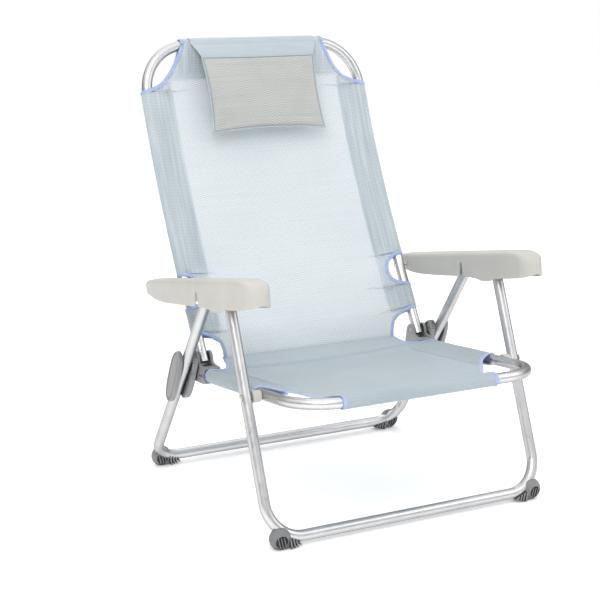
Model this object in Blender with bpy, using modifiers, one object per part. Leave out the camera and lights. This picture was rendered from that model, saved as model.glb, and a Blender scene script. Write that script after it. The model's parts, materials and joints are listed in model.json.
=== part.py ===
"""Low folding beach chair: aluminium tube frame, plastic armrests and hinge forks, sling seat
and headrest pillow.

Metres, +Z up. The floor is z = 0, the symmetry plane is x = 0, the chair faces -Y, and y = 0 is
midway between the two floor bars. Left (-X) and right (+X) are as seen from in front of the chair.
Each moving group hangs from an empty that lies on its hinge axis; the seat group has no parent.
Places in the side view are (y, z) pairs.
"""

import math
from collections import namedtuple

import bmesh
import bpy
from mathutils import Matrix, Vector

# ---- tubes ----
TUBE_R = 0.010
TUBE_WALL = 0.0012
TUBE_SIDES = 12
SOCKET_GAP = 0.0003       # between a tube and the plastic that holds it

# ---- seat rails ----
SEAT_X = 0.248            # half spacing
SEAT_FRONT = (-0.2985, 0.2623)
SEAT_SLOPE = -0.1025      # z per y: the rails fall towards the rear
SEAT_END_Y = 0.090
SEAT_BEND = 0.085

# ---- backrest tubes ----
BACK_X = 0.241            # half spacing
BACK_X_LOW = 0.2405       # half spacing at the hinge
BACK_SPREAD_RISE = 0.16   # height over which the spacing widens
BACK_TOP_Z = 0.8115
BACK_LOW_Z = 0.2420
BACK_MID_Z = 0.4945
BACK_CURVE = (-0.34360, -0.27123, 0.53154, 0.25043)  # cubic for y in z - BACK_MID_Z, cube first
BACK_BEND = 0.095
LOWER_SLEEVE_Z = (0.2865, 0.3395)   # where the backrest fabric wraps the side tubes
UPPER_SLEEVE_Z = (0.3995, 0.7165)
UPPER_SLEEVE_ROWS = 5

# ---- hinges and pins ----
HINGE = (0.1096, 0.2505)          # seat to backrest
FRONT_PIVOT = (-0.1545, 0.2475)   # seat to front leg
REAR_PIVOT = (0.1130, 0.2205)     # seat to rear leg
ARM_PIVOT = (-0.0836, 0.4195)     # front leg to armrest
ARM_REAR = (0.1804, 0.3695)       # backrest to armrest
RACK_PIN = (-0.0070, 0.4035)      # rear leg pin in the armrest

RIVET_R = 0.0030
HOLE_R = 0.0036
DRILL_REACH = 0.015       # of a hole cutter, each way from the tube's centre
SIDE_GAP = 0.0004         # between a tube's side and a rivet end or spacer

# ---- armrests ----
ARM_X = 0.285
ARM_WIDTH = 0.050
ARM_SLOPE = math.radians(10.8)    # down towards the rear
ARM_FRONT = -0.130        # along the armrest, from the front pivot
ARM_BACK = 0.312
ARM_TOP = 0.0225
ARM_WALL = 0.0026
ARM_TOP_WALL = 0.0032

# ---- fabric ----
CLOTH = 0.0014
WRAP_R = TUBE_R + 0.0019          # of the cloth's middle round a tube
FLAP_R = WRAP_R + 0.0022
PANEL_COLUMNS = 6
WRAP_COLUMNS = 9

# ---- materials ----
ALUMINIUM = dict(colour=(0.62, 0.63, 0.64), roughness=0.32, metallic=1.0)
STEEL = dict(colour=(0.55, 0.55, 0.56), roughness=0.35, metallic=1.0)
GREY_PLASTIC = dict(colour=(0.30, 0.31, 0.33), roughness=0.55)
FOOT_PLASTIC = dict(colour=(0.26, 0.27, 0.28), roughness=0.60)
LIGHT_PLASTIC = dict(colour=(0.62, 0.60, 0.55), roughness=0.50)
BLUE_CLOTH = dict(colour=(0.55, 0.63, 0.74), roughness=0.85)
PALE_CLOTH = dict(colour=(0.66, 0.65, 0.62), roughness=0.90)

SIDE_NAMES = {-1: "left", 1: "right"}


# ---- scene ----
for obj in list(bpy.data.objects):
    bpy.data.objects.remove(obj, do_unlink=True)
parts = bpy.data.collections.new("beach_chair")
cutters = bpy.data.collections.new("cutters")
for collection in (parts, cutters):
    bpy.context.scene.collection.children.link(collection)


def material(name, colour, roughness, metallic=0.0):
    made = bpy.data.materials.new(name)
    made.use_nodes = True
    shader = made.node_tree.nodes["Principled BSDF"]
    shader.inputs["Base Color"].default_value = (*colour, 1.0)
    shader.inputs["Roughness"].default_value = roughness
    shader.inputs["Metallic"].default_value = metallic
    return made


def axis_empty(name, yz):
    axis = bpy.data.objects.new(name, None)
    axis.empty_display_size = 0.03
    axis.location = (0.0, *yz)
    parts.objects.link(axis)
    return axis


def add(name, mesh, look, parent=None):
    """Links a mesh, in the chair's frame, as one part with its own material."""
    part = bpy.data.objects.new(name, mesh)
    parts.objects.link(part)
    mesh.materials.clear()
    mesh.materials.append(material(name, **look))
    mesh.shade_smooth()
    mesh.set_sharp_from_angle(angle=math.radians(35))
    if parent:
        part.parent = parent
        part.matrix_parent_inverse = Matrix.Translation(-parent.location)


# ---- mesh tools ----
def mix(start, end, t):
    return start + (end - start) * t


def to_mesh(bm, name):
    mesh = bpy.data.meshes.new(name)
    bm.to_mesh(mesh)
    bm.free()
    return mesh


def temporary(data):
    """An object that is removed again once its mesh has been used."""
    obj = bpy.data.objects.new("work", data)
    cutters.objects.link(obj)
    obj.hide_render = True
    return obj


def bake(obj, matrix=None):
    """The evaluated mesh in the chair's frame, with its seams welded. The object is removed."""
    bpy.context.view_layer.update()
    graph = bpy.context.evaluated_depsgraph_get()
    mesh = bpy.data.meshes.new_from_object(obj.evaluated_get(graph))
    mesh.transform(obj.matrix_world)
    if matrix:
        mesh.transform(matrix)
    bpy.data.objects.remove(obj, do_unlink=True)
    bm = bmesh.new()
    bm.from_mesh(mesh)
    bmesh.ops.remove_doubles(bm, verts=bm.verts, dist=0.00002)
    bmesh.ops.recalc_face_normals(bm, faces=bm.faces)
    bm.to_mesh(mesh)
    bm.free()
    return mesh


def worked(mesh, modifiers=(), booleans=()):
    """Applies (type, settings) modifiers together, then (operation, mesh) Booleans in turn."""
    obj = temporary(mesh)
    for kind, settings in modifiers:
        modifier = obj.modifiers.new(kind, kind)
        for key, value in settings.items():
            setattr(modifier, key, value)
    mesh = bake(obj)
    for operation, tool_mesh in booleans:
        obj = temporary(mesh)
        tool = temporary(tool_mesh)
        modifier = obj.modifiers.new("cut", "BOOLEAN")
        modifier.operation = operation
        modifier.solver = "EXACT"
        modifier.object = tool
        mesh = bake(obj)
        bpy.data.objects.remove(tool, do_unlink=True)
    return mesh


def cut(mesh, *tools):
    return worked(mesh, booleans=[("DIFFERENCE", tool) for tool in tools])


def bevel(width, segments=1):
    """Modifier that bevels the edges sharper than 60 degrees."""
    return "BEVEL", dict(width=width, segments=segments, limit_method="ANGLE",
                         angle_limit=math.radians(60))


def mirrored(mesh):
    """The same piece on the other side of the symmetry plane."""
    other = mesh.copy()
    other.transform(Matrix.Diagonal((-1, 1, 1, 1)))
    other.flip_normals()
    return other


def cylinder(x0, x1, yz, radius, sides=8):
    """A cylinder along X."""
    bm = bmesh.new()
    bmesh.ops.create_cone(bm, cap_ends=True, segments=sides, radius1=radius, radius2=radius,
                          depth=abs(x1 - x0))
    place = Matrix.Translation(((x0 + x1) / 2, *yz)) @ Matrix.Rotation(math.pi / 2, 4, "Y")
    bmesh.ops.transform(bm, matrix=place, verts=bm.verts)
    return to_mesh(bm, "cylinder")


def filled_curve(dimensions, points):
    """A curve object and its data, with one polyline through the points."""
    curve = bpy.data.curves.new("curve", "CURVE")
    curve.dimensions = dimensions
    spline = curve.splines.new("POLY")
    spline.points.add(len(points) - 1)
    for spline_point, place in zip(spline.points, points):
        spline_point.co = (*place, 1.0)
    return curve, spline


def prism(outline, x0, x1, matrix=None):
    """A flat (y, z) outline given thickness along X."""
    curve, spline = filled_curve("2D", [(y, z, 0.0) for y, z in outline])
    curve.fill_mode = "BOTH"
    curve.extrude = abs(x1 - x0) / 2
    spline.use_cyclic_u = True
    obj = temporary(curve)
    # the curve's own X, Y, Z become Y, Z, X
    turn = Matrix(((0, 0, 1, 0), (1, 0, 0, 0), (0, 1, 0, 0), (0, 0, 0, 1)))
    obj.matrix_world = Matrix.Translation(((x0 + x1) / 2, 0, 0)) @ turn
    return bake(obj, matrix)


# ---- tubes along a path ----
def bend_path(points, radii, steps=5):
    """Replaces each inner corner of a path by an arc; a radius of 0 keeps the corner."""
    points = [Vector(p) for p in points]
    path = [points[0]]
    for before, corner, after, radius in zip(points, points[1:], points[2:], radii):
        if radius <= 0:
            path.append(corner)
            continue
        back = (before - corner).normalized()
        ahead = (after - corner).normalized()
        half = back.angle(ahead) / 2
        centre = corner + (back + ahead).normalized() * (radius / math.sin(half))
        start = corner + back * (radius / math.tan(half)) - centre
        end = corner + ahead * (radius / math.tan(half)) - centre
        sweep = start.angle(end)
        for k in range(steps + 1):
            t = k / steps
            arm = start * math.sin((1 - t) * sweep) + end * math.sin(t * sweep)
            path.append(centre + arm / math.sin(sweep))
    path.append(points[-1])
    return path


def u_path(half_spacing, end, bar, bend):
    """Two side runs from their ends to a cross bar, all on (y, z) places."""
    x = half_spacing
    return bend_path([(-x, *end), (-x, *bar), (x, *bar), (x, *end)], [bend, bend])


def sweep_circle(path, radius, capped):
    curve, _ = filled_curve("3D", path)
    curve.bevel_depth = radius
    curve.bevel_resolution = (TUBE_SIDES - 4) // 2
    curve.use_fill_caps = capped
    return bake(temporary(curve))


def rod(path, radius):
    """A solid bar, for cutting a seat for a tube."""
    return sweep_circle(path, radius, capped=True)


def nearest_on_segment(point, start, end):
    along = end - start
    t = max(0.0, min(1.0, (point - start).dot(along) / along.length_squared))
    return start + along * t


def tube(path):
    """An open-ended tube with a wall."""
    mesh = sweep_circle(path, TUBE_R, capped=False)
    bm = bmesh.new()
    bm.from_mesh(mesh)
    # every face has to point away from the tube's own line, so that the wall grows inwards
    for face in bm.faces:
        middle = face.calc_center_median()
        feet = [nearest_on_segment(middle, a, b) for a, b in zip(path, path[1:])]
        foot = min(feet, key=lambda place: (middle - place).length)
        if face.normal.dot(middle - foot) < 0:
            face.normal_flip()
    bm.to_mesh(mesh)
    bm.free()
    return worked(mesh, [("SOLIDIFY", dict(thickness=TUBE_WALL, offset=-1.0, use_rim=True))])


def drilled(mesh, holes):
    """Rivet holes along X through both side runs, from (half spacing, (y, z)) pairs."""
    return cut(mesh, *[cylinder(side * (x - DRILL_REACH), side * (x + DRILL_REACH), yz, HOLE_R)
                       for side in (-1, 1) for x, yz in holes])


# ---- lines of the seat and backrest ----
def seat_z(y):
    return SEAT_FRONT[1] + SEAT_SLOPE * (y - SEAT_FRONT[0])


SEAT_REARWARD = Vector((0, 1, SEAT_SLOPE)).normalized()
SEAT_UP = Vector((0, -SEAT_REARWARD.z, SEAT_REARWARD.y))


def seat_at(x, y, height=0.0):
    """A point over the seat rail's centre line, square to it."""
    return Vector((x, y, seat_z(y))) + SEAT_UP * height


def back_y(z):
    rise = z - BACK_MID_Z
    cube, square, slope, offset = BACK_CURVE
    return ((cube * rise + square) * rise + slope) * rise + offset


def back_x(z):
    share = min(1.0, max(0.0, (z - BACK_LOW_Z) / BACK_SPREAD_RISE))
    return mix(BACK_X_LOW, BACK_X, share)


def back_directions(z):
    """Unit vectors up along the backrest and forward, square to it."""
    step = 0.0005
    up = Vector((0, back_y(z + step) - back_y(z - step), 2 * step)).normalized()
    return up, Vector((0, -up.z, up.y))


def back_at(x, z, forward=0.0):
    """A point in front of the backrest tubes' centre line, square to it."""
    return Vector((x, back_y(z), z)) + back_directions(z)[1] * forward


# ---- groups ----
AXIS_BACK = axis_empty("axis_backrest", HINGE)
AXIS_FRONT = axis_empty("axis_front_leg", FRONT_PIVOT)
AXIS_REAR = axis_empty("axis_rear_leg", REAR_PIVOT)
AXIS_ARM = {side: axis_empty("axis_armrest_" + SIDE_NAMES[side], ARM_PIVOT) for side in (-1, 1)}

# bar is the floor bar's centre, lean is y per z up the leg
Leg = namedtuple("Leg", "label half_spacing bar lean top_z bend axis pivots")
BAR_Y, BAR_Z = 0.2472, 0.0165
FRONT_LEG = Leg(label="front", half_spacing=0.285, bar=(-BAR_Y, BAR_Z), lean=0.406, top_z=0.4325,
                bend=0.065, axis=AXIS_FRONT, pivots=(FRONT_PIVOT, ARM_PIVOT))
REAR_LEG = Leg(label="rear", half_spacing=0.282, bar=(BAR_Y, BAR_Z), lean=-0.6563, top_z=0.4170,
               bend=0.048, axis=AXIS_REAR, pivots=(REAR_PIVOT, RACK_PIN))
LEG_X = FRONT_LEG.half_spacing


# ---- tube frames ----
def seat_frame():
    path = u_path(SEAT_X, (SEAT_END_Y, seat_z(SEAT_END_Y)), SEAT_FRONT, SEAT_BEND)
    add("seat_frame", drilled(tube(path), [(SEAT_X, FRONT_PIVOT)]), ALUMINIUM)


def backrest_frame():
    heights = [BACK_LOW_Z, *LOWER_SLEEVE_Z]
    heights += [mix(*UPPER_SLEEVE_Z, k / UPPER_SLEEVE_ROWS) for k in range(UPPER_SLEEVE_ROWS + 1)]
    top = (back_y(BACK_TOP_Z), BACK_TOP_Z)
    left = [(-back_x(z), back_y(z), z) for z in heights]
    right = [(back_x(z), back_y(z), z) for z in reversed(heights)]
    unbent = [0] * (len(heights) - 1)
    path = bend_path(left + [(-BACK_X, *top), (BACK_X, *top)] + right,
                     unbent + [BACK_BEND, BACK_BEND] + unbent)
    frame = drilled(tube(path), [(BACK_X_LOW, HINGE), (BACK_X, ARM_REAR)])
    add("backrest_frame", frame, ALUMINIUM, AXIS_BACK)


def leg_path(leg, top_z):
    y, z = leg.bar
    return u_path(leg.half_spacing, (y + leg.lean * (top_z - z), top_z), leg.bar, leg.bend)


def leg_frame(leg):
    holes = [(leg.half_spacing, pivot) for pivot in leg.pivots]
    frame = drilled(tube(leg_path(leg, leg.top_z)), holes)
    add("%s_leg_frame" % leg.label, frame, ALUMINIUM, leg.axis)


# ---- armrests: a channel open below, with a round nose ----
# (y, z) along and above the armrest, from the front pivot
NOSE_CUT = [
    (-0.1505, -0.0200), (-0.1308, -0.0060), (-0.1255, 0.0035), (-0.1170, 0.0115),
    (-0.1060, 0.0172), (-0.0950, 0.0205), (-0.0800, 0.0232), (-0.0800, 0.0600),
    (-0.1505, 0.0600),
]
# the underside rises towards the nose and towards the rear end
UNDERSIDE_CUT = [
    (-0.20, -0.08), (0.40, -0.08), (0.40, 0.004), (ARM_BACK - 0.004, 0.002),
    (ARM_BACK - 0.05, -0.014), (ARM_BACK - 0.10, -0.020), (0.060, -0.0255), (0.028, -0.0285),
    (0.020, -0.0312), (0.010, -0.0330), (-0.010, -0.0330), (-0.020, -0.0312),
    (-0.028, -0.0285), (-0.060, -0.0285), (-0.100, -0.0278), (-0.122, -0.0262),
    (-0.134, -0.0240), (-0.20, -0.0230),
]
# a notch in the side walls, (y, z) from the rack pin; its two lowest corners are added below
RACK_NOTCH_TOP = [(0.0042, 0.0), (0.0005, 0.0055), (-0.0042, 0.0)]


def arm_place(yz):
    """A chair place in the armrest's own length and height."""
    dy, dz = yz[0] - ARM_PIVOT[0], yz[1] - ARM_PIVOT[1]
    cosine, sine = math.cos(ARM_SLOPE), math.sin(ARM_SLOPE)
    return dy * cosine - dz * sine, dy * sine + dz * cosine


def round_nosed_block(width, y0, y1, z0, z1, rear_radius):
    """Half-round nose at y0 and rounded rear corners in plan, extruded upwards."""
    nose_steps, corner_steps = 8, 3
    half = width / 2
    outline = []
    for k in range(nose_steps + 1):
        angle = math.pi + math.pi * k / nose_steps
        outline.append((half * math.cos(angle), y0 + half + half * math.sin(angle)))
    corner_x = half - rear_radius
    for centre_x, first in ((corner_x, 0.0), (-corner_x, math.pi / 2)):
        for k in range(corner_steps + 1):
            angle = first + math.pi / 2 * k / corner_steps
            outline.append((centre_x + rear_radius * math.cos(angle),
                            y1 - rear_radius + rear_radius * math.sin(angle)))
    bm = bmesh.new()
    face = bm.faces.new([bm.verts.new((x, y, z0)) for x, y in outline])
    raised = bmesh.ops.extrude_face_region(bm, geom=[face])["geom"]
    raised_verts = [item for item in raised if isinstance(item, bmesh.types.BMVert)]
    bmesh.ops.translate(bm, vec=(0, 0, z1 - z0), verts=raised_verts)
    bmesh.ops.recalc_face_normals(bm, faces=bm.faces)
    return to_mesh(bm, "round_nosed_block")


def nose_cutter(dy=0.0, dz=0.0):
    """What is cut off above the drooping nose, moved by (dy, dz)."""
    return prism([(y + dy, z + dz) for y, z in NOSE_CUT], -0.045, 0.045)


def armrests():
    outer = round_nosed_block(ARM_WIDTH, ARM_FRONT, ARM_BACK, -0.040, ARM_TOP, rear_radius=0.016)
    outer = worked(outer, [bevel(0.006, segments=2)], [("DIFFERENCE", nose_cutter())])
    inner = round_nosed_block(ARM_WIDTH - 2 * ARM_WALL, ARM_FRONT + ARM_WALL, ARM_BACK - ARM_WALL,
                              -0.060, ARM_TOP - ARM_TOP_WALL, rear_radius=0.014)
    inner = cut(inner, nose_cutter(0.0024, -ARM_TOP_WALL))
    pin_y, pin_z = arm_place(RACK_PIN)
    notch = [(pin_y - 0.0060, -0.071), (pin_y + 0.0200, -0.071)]
    notch += [(pin_y + y, pin_z + z) for y, z in RACK_NOTCH_TOP]
    shell = cut(outer, inner, prism(UNDERSIDE_CUT, -0.041, 0.041), prism(notch, -0.04, 0.04),
                cylinder(-0.042, 0.042, (0.0, 0.0), HOLE_R, sides=10))
    shell.transform(Matrix.Translation((ARM_X, *ARM_PIVOT)) @ Matrix.Rotation(-ARM_SLOPE, 4, "X"))
    add("armrest_right", shell, LIGHT_PLASTIC, AXIS_ARM[1])
    add("armrest_left", mirrored(shell), LIGHT_PLASTIC, AXIS_ARM[-1])


# ---- hinge forks: a socket on the seat rail with two ears round the backrest tube's foot ----
FORK_X = (0.2235, 0.2580)
FORK_HOLE_X = (0.21, 0.27)
FORK_OUTLINE = [  # (y, z)
    (0.068, 0.2095), (0.100, 0.2070), (0.1200, 0.2073), (0.1275, 0.2135), (0.1262, 0.2295),
    (0.1222, 0.2525), (0.1180, 0.2597), (0.1105, 0.2625), (0.1030, 0.2603), (0.0990, 0.2540),
    (0.0968, 0.2436), (0.0880, 0.2405), (0.068, 0.2393),
]
# takes the backrest tube, open above, behind and in front; (y, z)
FORK_SLOT = [
    (0.060, 0.300), (0.060, 0.2391), (0.0870, 0.2385), (0.0930, 0.2362), (0.1000, 0.2350),
    (0.170, 0.2350), (0.170, 0.300),
]


def hinge_forks():
    body = worked(prism(FORK_OUTLINE, *FORK_X), [bevel(0.0018)])
    bore = rod([seat_at(SEAT_X, 0.050), seat_at(SEAT_X, SEAT_END_Y + 0.001)],
               TUBE_R + SOCKET_GAP + 0.0002)
    slot = prism(FORK_SLOT, BACK_X_LOW - TUBE_R - 0.0006, BACK_X_LOW + TUBE_R + 0.0010)
    fork = cut(body, bore, slot, cylinder(*FORK_HOLE_X, HINGE, HOLE_R),
               cylinder(*FORK_HOLE_X, REAR_PIVOT, HOLE_R))
    add("hinge_fork_right", fork, GREY_PLASTIC)
    add("hinge_fork_left", mirrored(fork), GREY_PLASTIC)


# ---- rear brackets: two oval shells, inside and outside the rear leg ----
BRACKETS = [  # label, x from, x to, length, width
    ("inner", 0.2590, 0.2716, 0.108, 0.034),
    ("outer", 0.2925, 0.3020, 0.114, 0.036),
]
BRACKET_LEAN = math.atan(0.44)
BRACKET_POINTS = 18


def signed_power(value, power):
    return math.copysign(abs(value) ** power, value)


def rear_bracket(side, label, x0, x1, length, width):
    outline = []
    for k in range(BRACKET_POINTS):
        angle = 2 * math.pi * k / BRACKET_POINTS
        outline.append((0.004 + width / 2 * signed_power(math.cos(angle), 0.85),
                        length / 2 * signed_power(math.sin(angle), 0.75)))
    place = (Matrix.Translation((0, REAR_PIVOT[0] - 0.0010, REAR_PIVOT[1] - 0.0035))
             @ Matrix.Rotation(BRACKET_LEAN, 4, "X"))
    shell = worked(prism(outline, side * x0, side * x1, place), [bevel(0.0025)])
    tools = []
    if label == "outer":
        # a shallow trough seats the leg tube
        pivot = Vector((side * REAR_LEG.half_spacing, *REAR_PIVOT))
        reach = Vector((0, REAR_LEG.lean, 1)).normalized() * 0.08
        tools.append(rod([pivot - reach, pivot + reach], TUBE_R + 0.0004))
    # the rivet hole ends blind in the outer shell
    tools.append(cylinder(side * 0.25, side * 0.2988, REAR_PIVOT, HOLE_R))
    name = "rear_bracket_%s_%s" % (label, SIDE_NAMES[side])
    add(name, cut(shell, *tools), GREY_PLASTIC, AXIS_REAR)


# ---- spacers between the seat rails and the front legs ----
def front_spacer(side):
    ring = cylinder(side * (SEAT_X + TUBE_R + SIDE_GAP), side * (LEG_X - TUBE_R - SIDE_GAP),
                    FRONT_PIVOT, 0.0105, sides=12)
    hole = cylinder(side * 0.25, side * 0.28, FRONT_PIVOT, HOLE_R)
    ring = worked(ring, [bevel(0.0012)], [("DIFFERENCE", hole)])
    add("front_spacer_" + SIDE_NAMES[side], ring, GREY_PLASTIC)


# ---- rivets: a shank with a domed head on the outer end and a foot on the inner end ----
def rivet(name, side, x_in, x_out, yz, head, foot, parent):
    """A turned rivet along X; head and foot are radii."""
    length = x_out - x_in
    profile = [  # radius, distance outwards from the head's underside
        (0.0, 0.0022), (head * 0.55, 0.0018), (head, 0.0004), (head, 0.0), (RIVET_R, 0.0),
        (RIVET_R, -length), (foot, -length), (foot, -length - 0.0012), (0.0, -length - 0.0012),
    ]
    bm = bmesh.new()
    verts = [bm.verts.new((radius, 0, z)) for radius, z in profile]
    for pair in zip(verts, verts[1:]):
        bm.edges.new(pair)
    turning = dict(steps=8, render_steps=8, use_merge_vertices=True, merge_threshold=0.00001)
    mesh = worked(to_mesh(bm, "profile"), [("SCREW", turning)])
    mesh.transform(Matrix.Translation((side * x_out, *yz))
                   @ Matrix.Rotation(side * math.pi / 2, 4, "Y"))
    add("%s_%s" % (name, SIDE_NAMES[side]), mesh, STEEL, parent)


def rivets(side):
    past_leg = LEG_X + TUBE_R + SIDE_GAP
    for row in (  # name, inner x, outer x, place, head radius, foot radius, parent
        ("front_pivot_rivet", SEAT_X - TUBE_R - SIDE_GAP, past_leg, FRONT_PIVOT,
         0.0062, 0.0048, None),
        ("rear_pivot_rivet", 0.2240, 0.2960, REAR_PIVOT, 0.0032, 0.0032, None),
        ("hinge_rivet", 0.2252, 0.2555, HINGE, 0.0032, 0.0032, None),
        ("armrest_front_rivet", LEG_X - TUBE_R - SIDE_GAP, past_leg, ARM_PIVOT,
         0.0045, 0.0045, AXIS_ARM[side]),
        ("armrest_rear_rivet", back_x(ARM_REAR[1]) - TUBE_R - 0.0008, 0.2545, ARM_REAR,
         0.0050, 0.0052, AXIS_BACK),
        ("rack_pin", 0.2655, 0.3035, RACK_PIN, 0.0046, 0.0046, AXIS_REAR),
    ):
        name, *rest = row
        rivet(name, side, *rest)


# ---- feet: a bulb under each bend's outer corner and a ribbed wedge under the floor bar ----
BULB_R = 0.0197
BULB_FLATTENING = 0.76    # along Y
BULB_X, BULB_Z = 0.2672, 0.0191
WEDGE_OUTLINE = [  # (x, z)
    (0.2300, 0.0050), (0.2520, -0.0030), (0.2730, -0.0030), (0.2730, 0.0050),
    (0.2660, 0.0240), (0.2450, 0.0150), (0.2300, 0.0090),
]
WEDGE_HALF = 0.0104       # half widths along Y
RIB_HALF = 0.0124
RIB_X = (0.2290, 0.2360, 0.2430)
GROOVE_RISE = 0.2         # how far up the leg the groove's cutter reaches


def foot_bulb(y):
    bm = bmesh.new()
    bmesh.ops.create_uvsphere(bm, u_segments=16, v_segments=10, radius=BULB_R)
    place = (Matrix.Translation((BULB_X, y, BULB_Z)) @ Matrix.Rotation(math.pi / 2, 4, "X")
             @ Matrix.Diagonal((1.0, 1.0, BULB_FLATTENING, 1)))
    bmesh.ops.transform(bm, matrix=place, verts=bm.verts)
    return to_mesh(bm, "bulb")


def foot_rib(k, x, place):
    """Each rib towards the outside reaches lower and higher than the one before."""
    low, high = k * 0.0022, k * 0.0028
    outline = [(x, 0.0045 - low), (x + 0.0040, 0.0030 - low),
               (x + 0.0064, 0.0115 + high), (x + 0.0024, 0.0105 + high)]
    return prism(outline, -RIB_HALF, RIB_HALF, place)


def floor_cutter():
    bm = bmesh.new()
    bmesh.ops.create_cube(bm, size=1.0)
    place = Matrix.Translation((0, 0, -0.025)) @ Matrix.Diagonal((0.8, 1.2, 0.05, 1))
    bmesh.ops.transform(bm, matrix=place, verts=bm.verts)
    return to_mesh(bm, "floor")


def feet(leg):
    bar_y, bar_z = leg.bar
    # turns an outline from Y to X
    place = Matrix.Translation((0, bar_y, 0)) @ Matrix.Rotation(-math.pi / 2, 4, "Z")
    joined = [prism(WEDGE_OUTLINE, -WEDGE_HALF, WEDGE_HALF, place)]
    joined += [foot_rib(k, x, place) for k, x in enumerate(RIB_X)]
    groove = rod(leg_path(leg, bar_z + GROOVE_RISE), TUBE_R + SOCKET_GAP)
    foot = worked(foot_bulb(bar_y), booleans=[("UNION", piece) for piece in joined]
                  + [("DIFFERENCE", groove), ("DIFFERENCE", floor_cutter())])
    add("foot_%s_right" % leg.label, foot, FOOT_PLASTIC, leg.axis)
    add("foot_%s_left" % leg.label, mirrored(foot), FOOT_PLASTIC, leg.axis)


# ---- sling fabric: sheets given thickness ----
def sheet(patches):
    """Welds grid patches, each (columns, rows, function of u and v), into one piece of cloth."""
    whole = bmesh.new()
    for columns, rows, place in patches:
        bm = bmesh.new()
        bmesh.ops.create_grid(bm, x_segments=columns, y_segments=rows, size=1.0)
        for vert in bm.verts:
            vert.co = place((vert.co.x + 1) / 2, (vert.co.y + 1) / 2)
        patch = to_mesh(bm, "patch")
        whole.from_mesh(patch)
        bpy.data.meshes.remove(patch)
    bmesh.ops.remove_doubles(whole, verts=whole.verts, dist=0.0002)
    bmesh.ops.recalc_face_normals(whole, faces=whole.faces)
    return worked(to_mesh(whole, "sheet"),
                  [("SOLIDIFY", dict(thickness=CLOTH, offset=0.0, use_rim=True))])


def panel_strips(panel, half_width, stations, rows):
    """Patches of a panel between neighbouring stations, each with its number of rows."""
    return [(PANEL_COLUMNS, count, lambda u, v, low=low, high=high:
             panel(mix(-half_width, half_width, u), mix(low, high, v)))
            for low, high, count in zip(stations, stations[1:], rows)]


def wrap_run(t):
    """Spreads nine columns as two to the tube, five round it and two back, as 0 to 3."""
    column = t * WRAP_COLUMNS
    if column <= 2:
        return column / 2
    if column <= 7:
        return 1 + (column - 2) / 5
    return 2 + (column - 7) / 2


def wrap(t, start, centre, out, face, end, radius=WRAP_R):
    """From start to the tube's face side, round its out side to the far side, then to end."""
    run = wrap_run(t)
    if run <= 1.0:
        return start.lerp(centre + face * radius, run)
    if run <= 2.0:
        angle = math.pi / 2 - math.pi * (run - 1.0)
        return centre + out * (radius * math.cos(angle)) + face * (radius * math.sin(angle))
    return (centre - face * radius).lerp(end, run - 2.0)


HEM_INSET = 0.012         # a side sleeve's hem, outwards from the panel's edge
HEM_DROP = 0.0075         # and beyond the tubes' centre line

# ---- seat fabric ----
SEAT_PANEL_X = 0.196
SEAT_PANEL_Y = (SEAT_FRONT[0] + 0.030, 0.1130)
SEAT_SLEEVE_Y = (-0.128, 0.062)
SEAT_ROWS = (2, 3, 3)     # ahead of, along and behind the side sleeves


def seat_panel(x, y):
    """Sags in the middle and rises towards its rear edge."""
    y0, y1 = SEAT_PANEL_Y
    sag = 0.010 * (1 - (x / SEAT_PANEL_X) ** 2) * math.sin(math.pi * (y - y0) / (y1 - y0))
    past_sleeve = max(0.0, (y - SEAT_SLEEVE_Y[1]) / (y1 - SEAT_SLEEVE_Y[1]))
    return seat_at(x, y, 0.0185 * past_sleeve ** 1.3 - sag)


def seat_sleeve(side):
    """Over the rail, round its outer side and back underneath."""
    def place(u, v):
        y = mix(*SEAT_SLEEVE_Y, v)
        return wrap(u, seat_panel(side * SEAT_PANEL_X, y), seat_at(side * SEAT_X, y),
                    out=Vector((side, 0, 0)), face=SEAT_UP,
                    end=seat_at(side * (SEAT_PANEL_X + HEM_INSET), y, -HEM_DROP))
    return place


def seat_front_sleeve(u, v):
    """Over the front bar and back underneath, narrower than the panel."""
    x = mix(-SEAT_PANEL_X, SEAT_PANEL_X, u)
    centre = Vector((x * 0.80, *SEAT_FRONT))
    return wrap(v, seat_panel(x, SEAT_PANEL_Y[0]), centre, out=-SEAT_REARWARD, face=SEAT_UP,
                end=centre + SEAT_REARWARD * 0.026 - SEAT_UP * 0.0085)


def seat_fabric():
    stations = [SEAT_PANEL_Y[0], *SEAT_SLEEVE_Y, SEAT_PANEL_Y[1]]
    patches = panel_strips(seat_panel, SEAT_PANEL_X, stations, SEAT_ROWS)
    # a sleeve's rows meet the panel's rows
    patches += [(WRAP_COLUMNS, SEAT_ROWS[1], seat_sleeve(side)) for side in (-1, 1)]
    patches.append((PANEL_COLUMNS, WRAP_COLUMNS, seat_front_sleeve))
    add("seat_fabric", sheet(patches), BLUE_CLOTH)


# ---- backrest fabric, along the bent tubes ----
BACK_PANEL_X = 0.190
BACK_PANEL_Z = (0.2445, 0.7665)


def back_panel(x, z):
    """Sags rearwards in the middle and runs behind the tubes at its lower edge."""
    z0, z1 = BACK_PANEL_Z
    sag = 0.012 * (1 - (x / BACK_PANEL_X) ** 2) * math.sin(math.pi * (z - z0) / (z1 - z0))
    below_sleeve = max(0.0, 1 - (z - z0) / (LOWER_SLEEVE_Z[0] - z0))
    return back_at(x, z, -(sag + 0.0165 * below_sleeve ** 1.5))


def back_sleeve(side, span):
    """Over the side tube, round its outer side and back behind it."""
    def place(u, v):
        z = mix(*span, v)
        return wrap(u, back_panel(side * BACK_PANEL_X, z), back_at(side * back_x(z), z),
                    out=Vector((side, 0, 0)), face=back_directions(z)[1],
                    end=back_at(side * (BACK_PANEL_X + HEM_INSET), z, -HEM_DROP))
    return place


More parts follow.
